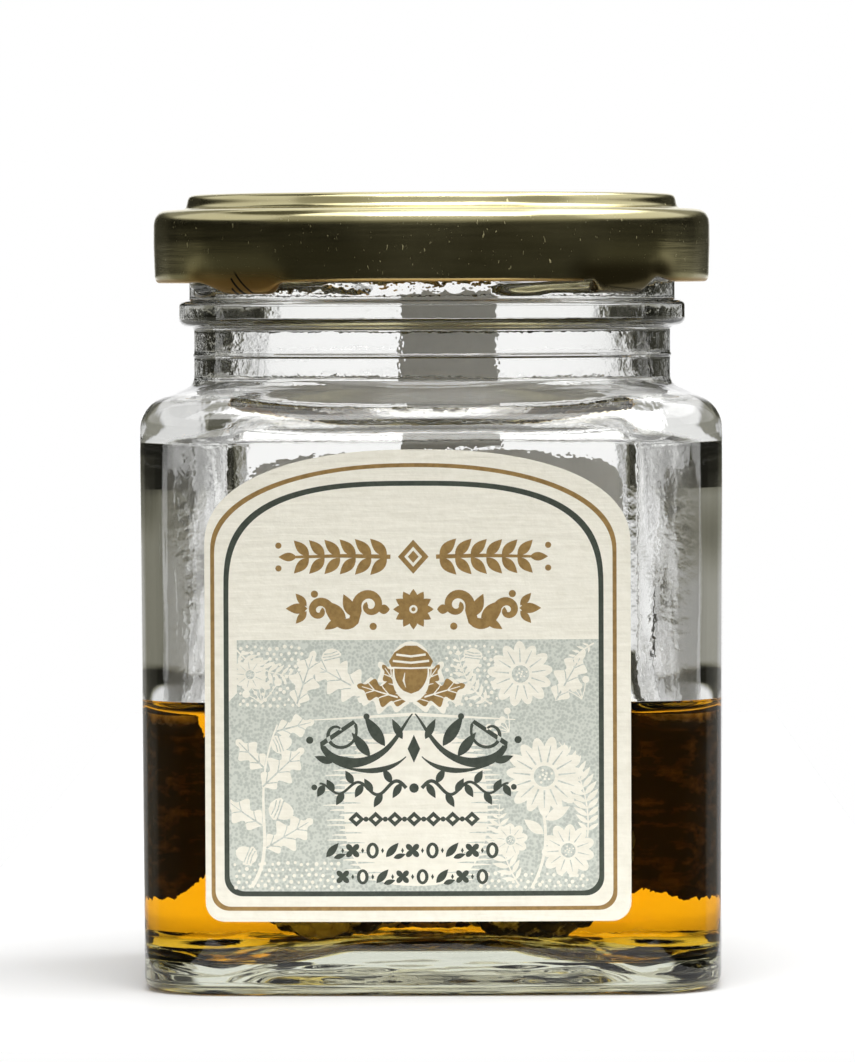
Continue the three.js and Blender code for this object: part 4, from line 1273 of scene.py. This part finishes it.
# the printed panel
P_TOP, P_MID = 40.85, 32.6
panel = [(max(min(x, PX + 21.14), PX - 21.14), min(z, P_TOP)) for x, z in inner_frame]
panel = [p for i, p in enumerate(panel) if i == 0 or math.dist(p, panel[i - 1]) > 1e-3]
clipped = []
for x, z in panel:
    if z >= P_TOP - 1e-6:
        continue
    clipped.append((x, z))
right_low = [p for p in clipped if p[0] > PX]
left_low = [p for p in clipped if p[0] <= PX]
panel = right_low + [(PX + 21.14, P_TOP), (PX - 20.2, P_TOP), (PX - 20.2, P_MID + 2.2), (PX - 21.14, P_MID + 1.2)] + [p for p in left_low if p[1] < P_MID]
layers.append((panel, PRINT_I))


def in_panel(poly, gap=0.12):
    """Keep a motif inside the frame line."""
    out = []
    for x, z in poly:
        x = min(max(x, PX - 21.14 + gap), PX + 21.14 - gap)
        out.append((x, min(max(z, 12.09 + gap), P_TOP)))
    return out


def motif(polys, index=PAPER_I):
    add([in_panel(p) for p in polys], index)


def put_daisy(x, z, r, petals, turn=0.0):
    out, creases, eye, dots = daisy(x, z, r, petals, turn)
    motif(out)
    motif(creases + [eye], PRINT_I)
    motif(dots)


def put_oak(x, z, length, width, turn, lobes=3):
    motif([oak_leaf(x, z, length, width, turn, lobes)])
    motif(oak_veins(x, z, length, width, turn, lobes), PRINT_I)


def put_acorn(x, z, size, turn):
    nut, cup, rings = acorn(x, z, size, turn)
    motif([nut, cup])
    c, q = math.cos(turn), math.sin(turn)
    motif([stroke([(x + size * 0.47 * c - w * q, z + size * 0.47 * q + w * c) for w in (-size * 0.36, 0, size * 0.36)], size * 0.05)] + rings, PRINT_I)


# seed dots that fill the ground, in two swags of the upper strip and low down
dot_rng = np.random.default_rng(19)
for x0, x1, z0, z1 in ((-19.8, -12.6, 33.4, 40.4), (3.9, 9.4, 33.4, 40.4), (-20.4, -8.5, 12.6, 15.6), (7.6, 20.2, 12.6, 14.4)):
    row = 0
    z = z0
    while z < z1:
        x = x0 + (0.42 if row % 2 else 0.0)
        while x < x1:
            layers.append((disc(PX + x + dot_rng.normal(0, 0.09), z + dot_rng.normal(0, 0.09), dot_rng.uniform(0.15, 0.25), 7), PAPER_I))
            x += 0.84
        z += 0.66
        row += 1
# upper strip
motif(fern(PX - 20.3, 39.8, 8.2, 3.4, -0.62, 10, 0.5))
put_oak(PX - 4.6, 34.2, 8.6, 4.4, 2.62, 4)
put_oak(PX - 13.4, 33.4, 6.6, 3.6, 1.25, 3)
put_acorn(PX - 9.6, 39.9, 2.6, -1.35)
motif(berries(PX - 17.4, 33.6, 1.75, 5, 0.46, 3.1))
put_daisy(PX - 18.7, 36.9, 1.9, 9, 0.3)
put_daisy(PX + 12.2, 36.9, 3.7, 13, 0.15)
put_oak(PX + 16.2, 33.8, 6.6, 3.6, 1.05, 3)
motif(fern(PX + 8.8, 33.5, 7.4, 3.2, 2.35, 9, -0.5))
put_acorn(PX + 6.9, 39.9, 2.5, -1.7)
motif(berries(PX + 19.2, 34.0, 2.0, 4, 0.42, 2.3))
motif(fern(PX + 20.6, 40.4, 4.4, 2.0, 3.75, 6, 0.3))
# the line under the strip, and the pale ground behind the lower rows
motif([stroke([(PX - 11.6, P_MID - 0.9), (PX, P_MID - 0.25), (PX + 11.6, P_MID - 0.9)], [0.12, 0.42, 0.12])])
oval = [(PX + 0.2 + 8.2 * math.copysign(abs(math.cos(t)) ** 0.75, math.cos(t)), 21.6 + 8.9 * math.copysign(abs(math.sin(t)) ** 0.75, math.sin(t))) for t in np.linspace(0, 2 * math.pi, 64, endpoint=False)]
motif([oval])
for k in range(30):
    z = 13.4 + k * 0.57
    u = min(1.0, abs(z - 21.6) / 8.9)
    edge = 8.2 * (1 - u ** (2 / 0.75)) ** (0.75 / 2)
    for sg in (1, -1):
        l = 1.5 + 0.7 * math.sin(k * 1.9 + sg) + 0.4 * math.sin(k * 4.3)
        motif([stroke([(PX + 0.2 + sg * (edge - 0.3), z), (PX + 0.2 + sg * (edge + l * 0.5), z + 0.03), (PX + 0.2 + sg * (edge + l), z)], [0.26, 0.20, 0.06])])
        if k % 2:
            motif([stroke([(PX + 0.2 + sg * (edge - 1.9), z + 0.25), (PX + 0.2 + sg * (edge - 0.9), z + 0.28), (PX + 0.2 + sg * edge, z + 0.25)], [0.05, 0.16, 0.2])], PRINT_I)
# left side: an oak spray with acorns
motif([stroke(curve((PX - 18.6, 12.6), (PX - 15.2, 17.5), (PX - 19.2, 22.5), (PX - 15.6, 31.2), 22), np.linspace(0.46, 0.18, 22))])
put_oak(PX - 17.0, 17.0, 6.4, 3.9, 0.55, 3)
put_oak(PX - 17.3, 19.6, 5.2, 3.4, 2.55, 2)
put_oak(PX - 17.4, 24.0, 6.6, 3.8, 0.75, 3)
put_oak(PX - 17.1, 26.2, 4.6, 3.0, 2.35, 2)
put_oak(PX - 15.8, 30.4, 4.6, 2.8, 0.25, 2)
put_acorn(PX - 16.6, 21.9, 3.0, -0.35)
put_acorn(PX - 18.0, 15.8, 2.6, 2.75)
put_acorn(PX - 16.3, 28.6, 2.5, 0.35)
# right side: field flowers and fern
motif(fern(PX + 12.0, 12.7, 9.6, 4.2, 1.98, 11, -0.35))
motif(fern(PX + 19.8, 18.2, 11.4, 4.2, 1.66, 13, 0.4))
motif([stroke(curve((PX + 13.4, 12.4), (PX + 15.4, 16.0), (PX + 15.2, 19.0), (PX + 14.6, 22.0), 16), 0.34)])
put_daisy(PX + 14.9, 25.2, 4.5, 15, 0.1)
put_daisy(PX + 17.6, 16.7, 3.1, 11, 0.35)
put_daisy(PX + 11.0, 17.9, 2.0, 9, 0.2)
motif(berries(PX + 10.9, 30.3, 2.5, 5, 0.40, 2.4))
motif([leaf(PX + 15.0, 20.2, 3.2, 1.3, 0.5), leaf(PX + 14.8, 18.6, 2.8, 1.2, 2.5)])

# in the middle of the strip, a gold acorn between oak leaves, with a pale rim round it
G = PX - 0.3
nut, cup, rings = acorn(G, 40.3, 5.6, -math.pi / 2)
for sg in (1, -1):
    for turn, l, w in ((math.pi / 2 - sg * 1.28, 6.1, 3.1), (math.pi / 2 - sg * 0.62, 5.0, 2.4)):
        layers.append((in_panel(oak_leaf(G + sg * 0.25, 33.55, l + 0.9, w + 1.0, turn, 3)), PAPER_I))
layers.append((in_panel(ellipse(G, 37.4, 2.5, 3.3, 0, 24)), PAPER_I))
for sg in (1, -1):
    for turn, l, w in ((math.pi / 2 - sg * 1.28, 6.1, 3.1), (math.pi / 2 - sg * 0.62, 5.0, 2.4)):
        add([oak_leaf(G + sg * 0.35, 33.95, l, w, turn, 3)], GOLD_I)
        add(oak_veins(G + sg * 0.35, 33.95, l, w, turn, 3, 0.17), PAPER_I)
layers.append((ellipse(G, 36.6, 2.15, 2.9, 0, 24), PAPER_I))
add([nut, cup], GOLD_I)
add([stroke([(G - 2.0, 37.68), (G, 37.60), (G + 2.0, 37.68)], 0.2)] + rings, PAPER_I)
add([stroke([(G - 0.7, 37.1), (G - 0.85, 36.2), (G - 0.6, 35.4)], [0.06, 0.24, 0.05])], PAPER_I)

# dark green: a pen flourish of slanting swelled strokes
R3 = 29.2
pen = np.vstack([spiral(PX + 8.6, R3 + 1.0, 0.4, 2.2, 2.2, -0.95, 32), curve((PX + 10.75, R3 + 0.55), (PX + 10.4, R3 - 2.4), (PX + 6.4, R3 - 3.6), (PX + 3.2, R3 - 0.9), 22)[2:],
                 curve((PX + 3.2, R3 - 0.9), (PX + 1.7, R3 + 0.5), (PX + 0.9, R3 + 2.4), (PX + 0.15, R3 + 3.2), 14)[1:]])
half_row = [stroke(pen, np.interp(np.linspace(0, 1, len(pen)), [0, 0.2, 0.45, 0.64, 0.8, 1], [0.22, 0.42, 0.30, 1.25, 0.60, 0.14]))]
half_row.append(leaf(PX + 3.3, R3 - 0.5, 4.2, 1.35, 0.98, 10))
half_row.append(leaf(PX + 5.0, R3 - 1.7, 3.5, 1.15, 0.92, 10))
half_row.append(leaf(PX + 1.3, R3 + 0.3, 2.6, 0.9, 1.1, 9))
half_row.append(stroke(curve((PX + 0.9, R3 - 1.7), (PX + 2.4, R3 - 3.2), (PX + 5.0, R3 - 3.9), (PX + 8.6, R3 - 2.7), 16), swell(16, 0.12, 0.62)))
half_row.append(leaf(PX + 9.3, R3 - 2.4, 2.2, 0.85, 0.35, 8))
half_row.append(disc(PX + 11.9, R3 + 0.2, 0.42))
half_row.append(disc(PX + 5.4, R3 + 2.9, 0.36))
add(half_row + mirrored(half_row, PX), GREEN_I)
add([diamond(PX, R3 - 0.8, 0.72, 1.6)], GREEN_I)

# a vine
R4, half_row = 23.9, []
t = np.linspace(0, 1, 46)
half_row.append(stroke(np.stack([PX + 0.9 + 9.9 * t, R4 + 0.85 * np.sin(2 * np.pi * 2.25 * t) * (1 - 0.35 * t)], -1), 0.42 - 0.18 * t))
for k in range(9):
    f = (k + 0.5) / 9
    x, z = PX + 0.9 + 9.9 * f, R4 + 0.85 * math.sin(2 * math.pi * 2.25 * f) * (1 - 0.35 * f)
    half_row.append(leaf(x, z, 2.05 - 0.45 * f, 0.86, (1.05 if k % 2 else -1.05), 8))
half_row.append(disc(PX + 11.4, R4 + 0.1, 0.34))
add(half_row + mirrored(half_row, PX), GREEN_I)
add([disc(PX, R4, 0.55)], GREEN_I)

# lozenges
for k in range(-3, 4):
    add([diamond(PX + k * 2.2, 20.35, 0.92, 0.86)], GREEN_I)
    add([diamond(PX + k * 2.2, 20.35, 0.34, 0.30)], PAPER_I)
    if k < 3:
        add([disc(PX + (k + 0.5) * 2.2, 20.35, 0.3, 9)], GREEN_I)

# two rows of small leaves, rings and flowers
for z, count, size in ((16.75, 9, 1.0), (13.75, 8, 0.95)):
    for k in range(count):
        x = PX - 0.2 + (k - (count - 1) / 2) * 2.28
        kind = (k + (1 if count == 8 else 0)) % 3
        if kind == 0:
            add([leaf(x - 0.75 * size, z - 0.75 * size, 2.2 * size, 0.85, 0.85, 7), leaf(x + 0.1, z - 0.85 * size, 1.5 * size, 0.6, 0.3, 7)], GREEN_I)
        elif kind == 1:
            add([ellipse(x + 0.52 * size * math.cos(a), z + 0.52 * size * math.sin(a), 0.46 * size, 0.33 * size, a, 12) for a in (0.785, 2.356, 3.927, 5.498)], GREEN_I)
            add([disc(x, z, 0.2, 8)], GREEN_I)
        else:
            add([ellipse(x, z, 0.72 * size, 0.92 * size, 0, 16)], GREEN_I)
            add([ellipse(x, z, 0.32 * size, 0.58 * size, 0, 12)], PAPER_I)
        if k < count - 1:
            add([diamond(x + 1.14, z, 0.17, 0.32)], GREEN_I)

front_label = label_object("paper_label", arch(FRONT["x"], FRONT["half"], FRONT["low"], FRONT["top"], 10.95, 2.3, FRONT["corner"]), layers, -1, 0.10, [PAPER, GOLD_INK, GREEN_INK, GREY_PRINT])
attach(front_label, "jar")
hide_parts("front_label")
print("label faces", len(front_label.data.polygons))


def back_outline():
    """Arched like the front label; its low edge is torn a little uneven."""
    b = BACK
    pts = evenly(arch(b["x"], b["half"], b["low"], b["high"], 5.5, 3.0, b["corner"]), 0.7)
    return [(x, z + (0.22 * math.sin(2.3 * x + 1.0) + 0.16 * math.sin(5.1 * x) if z < b["low"] + 0.5 else 0.0)) for x, z in pts]


back_label = label_object("paper_back_label", back_outline(), [], 1, 0.10, [WHITE_PAPER, PASTED], rear_mat=1)
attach(back_label, "jar")
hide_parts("back_label")

# ------------------------------------------------------------------ floor and light
def stage_plane(name, corners, colour, rough=0.6):
    me = bpy.data.meshes.new(name)
    me.from_pydata(corners, [], [(0, 1, 2, 3)])
    ob = bpy.data.objects.new(name, me)
    scene.collection.objects.link(ob)
    m, nt, p = new_material(name)
    p.inputs["Base Color"].default_value = (*colour, 1)
    p.inputs["Roughness"].default_value = rough
    p.inputs["Specular IOR Level"].default_value = 0.2
    me.materials.append(m)
    return ob


stage_plane("floor", [(-0.062, -0.10, 0), (0.062, -0.10, 0), (0.062, 0.6, 0), (-0.062, 0.6, 0)], (0.68, 0.68, 0.68))

world = bpy.data.worlds.new("studio")
scene.world = world
world.use_nodes = True
wt = world.node_tree
wt.nodes.clear()
w_out = wt.nodes.new("ShaderNodeOutputWorld")
w_bg = wt.nodes.new("ShaderNodeBackground")
w_co = wt.nodes.new("ShaderNodeTexCoord")
w_sep = wt.nodes.new("ShaderNodeSeparateXYZ")
wt.links.new(w_co.outputs["Generated"], w_sep.inputs[0])


def wmath(op, a, b=None, clamp=False):
    n = wt.nodes.new("ShaderNodeMath")
    n.operation = op
    n.use_clamp = clamp
    for i, v in enumerate((a, b)):
        if v is None:
            continue
        if isinstance(v, (int, float)):
            n.inputs[i].default_value = v
        else:
            wt.links.new(v, n.inputs[i])
    return n.outputs[0]


def wstep(v, lo, hi):
    n = wt.nodes.new("ShaderNodeMapRange")
    n.interpolation_type = "SMOOTHSTEP"
    n.inputs["From Min"].default_value = lo
    n.inputs["From Max"].default_value = hi
    wt.links.new(v, n.inputs["Value"])
    return n.outputs["Result"]


X, Y, Z = w_sep.outputs
flat = wmath("SQRT", wmath("ADD", wmath("MULTIPLY", X, X), wmath("MULTIPLY", Y, Y)))
turned = wmath("DIVIDE", Y, wmath("MAXIMUM", flat, 0.001))     # 1 straight behind the jar, -1 in front of it
on_right = wstep(X, -0.12, 0.12)


def zones(value, edges):
    """Soft-edged shares of the bands between edges, the lowest band first."""
    steps = [wstep(value, lo, hi) for lo, hi in edges]
    out = [wmath("SUBTRACT", 1.0, steps[0])]
    for i in range(len(steps)):
        out.append(wmath("SUBTRACT", steps[i], steps[i + 1]) if i + 1 < len(steps) else steps[i])
    return out


RISE = zones(Z, [(-0.042, -0.014), (0.20, 0.31), (0.60, 0.70), (0.88, 0.94)])
RISE_FRONT = zones(Z, [(-0.042, -0.014), (0.10, 0.33), (0.60, 0.70), (0.88, 0.94)])
TURN = zones(turned, [(-0.90, -0.84), (-0.40, -0.28), (0.28, 0.40), (0.74, 0.82), (0.955, 0.98)])
TURN_HIGH = zones(turned, [(-0.90, -0.84), (-0.40, -0.28), (0.28, 0.40), (0.74, 0.82), (0.978, 0.991)])
# brightness of the studio: rows from the floor's level up to overhead, columns from the front round to straight behind, (left, right)
STUDIO = [
    [(0.03, 0.03), (0.03, 0.03), (0.06, 0.06), (0.20, 0.32), (0.42, 0.50), (1.02, 1.02)],
    [(0.02, 0.02), (0.01, 0.03), (0.01, 0.02), (0.01, 0.01), (0.03, 0.04), (1.12, 1.12)],
    [(0.55, 0.55), (0.40, 0.40), (0.80, 0.90), (0.80, 0.90), (0.30, 0.30), (1.00, 1.00)],
    [(8.0, 8.0), (2.6, 2.6), (0.10, 4.2), (0.10, 4.2), (1.10, 1.10), (1.10, 1.10)],
    [(2.6, 2.6), (2.3, 2.3), (0.80, 1.00), (0.80, 1.00), (1.8, 1.8), (1.8, 1.8)],
]
level = None
for i, row in enumerate(STUDIO):
    band_level = None
    for j, (l, r) in enumerate(row):
        lr = wt.nodes.new("ShaderNodeMapRange")
        lr.name = f"level_{i}_{j}"
        lr.inputs["To Min"].default_value, lr.inputs["To Max"].default_value = l, r
        wt.links.new(on_right, lr.inputs["Value"])
        part = wmath("MULTIPLY", (TURN_HIGH if i == 1 else TURN)[j], lr.outputs["Result"])
        part = wmath("MULTIPLY", (RISE_FRONT if j < 2 else RISE)[i], part)
        band_level = part if band_level is None else wmath("ADD", band_level, part)
    level = band_level if level is None else wmath("ADD", level, band_level)
w_path = wt.nodes.new("ShaderNodeLightPath")
level = wmath("ADD", wmath("MULTIPLY", level, wmath("SUBTRACT", 1.0, w_path.outputs["Is Camera Ray"])), wmath("MULTIPLY", w_path.outputs["Is Camera Ray"], 1.0))
wt.links.new(level, w_bg.inputs["Strength"])
w_tint = wt.nodes.new("ShaderNodeMix")
w_tint.data_type = "RGBA"
w_tint.inputs["A"].default_value, w_tint.inputs["B"].default_value = (1.0, 0.97, 0.72, 1.0), (1.0, 1.0, 1.0, 1.0)
wt.links.new(wmath("DIVIDE", wmath("SUBTRACT", level, 0.12), 0.4, clamp=True), w_tint.inputs["Factor"])
wt.links.new(w_tint.outputs["Result"], w_bg.inputs["Color"])
wt.links.new(w_bg.outputs[0], w_out.inputs[0])


def area(name, at, to, size, power, colour=(1, 1, 1)):
    d = bpy.data.lights.new(name, "AREA")
    d.shape = "RECTANGLE"
    d.size, d.size_y = size
    d.energy = power
    d.color = colour
    ob = bpy.data.objects.new(name, d)
    scene.collection.objects.link(ob)
    v = Vector(to) - Vector(at)
    ob.matrix_world = Matrix.Translation(Vector(at)) @ v.to_track_quat("-Z", "Y").to_matrix().to_4x4()
    ob.visible_camera = False
    return ob


area("key", (0.50, -0.75, 1.0), (0, 0, 0.04), (0.45, 0.45), 2.0)

scene.view_settings.view_transform = "Standard"
scene.view_settings.look = "None"
cy = getattr(scene, "cycles", None)
if cy is not None:
    cy.max_bounces = 20
    cy.transmission_bounces = 18
    cy.glossy_bounces = 6
    cy.adaptive_threshold = 0.02
    cy.diffuse_bounces = 3
    cy.transparent_max_bounces = 16
    cy.caustics_reflective = True
    cy.caustics_refractive = True
    cy.blur_glossy = 0.6
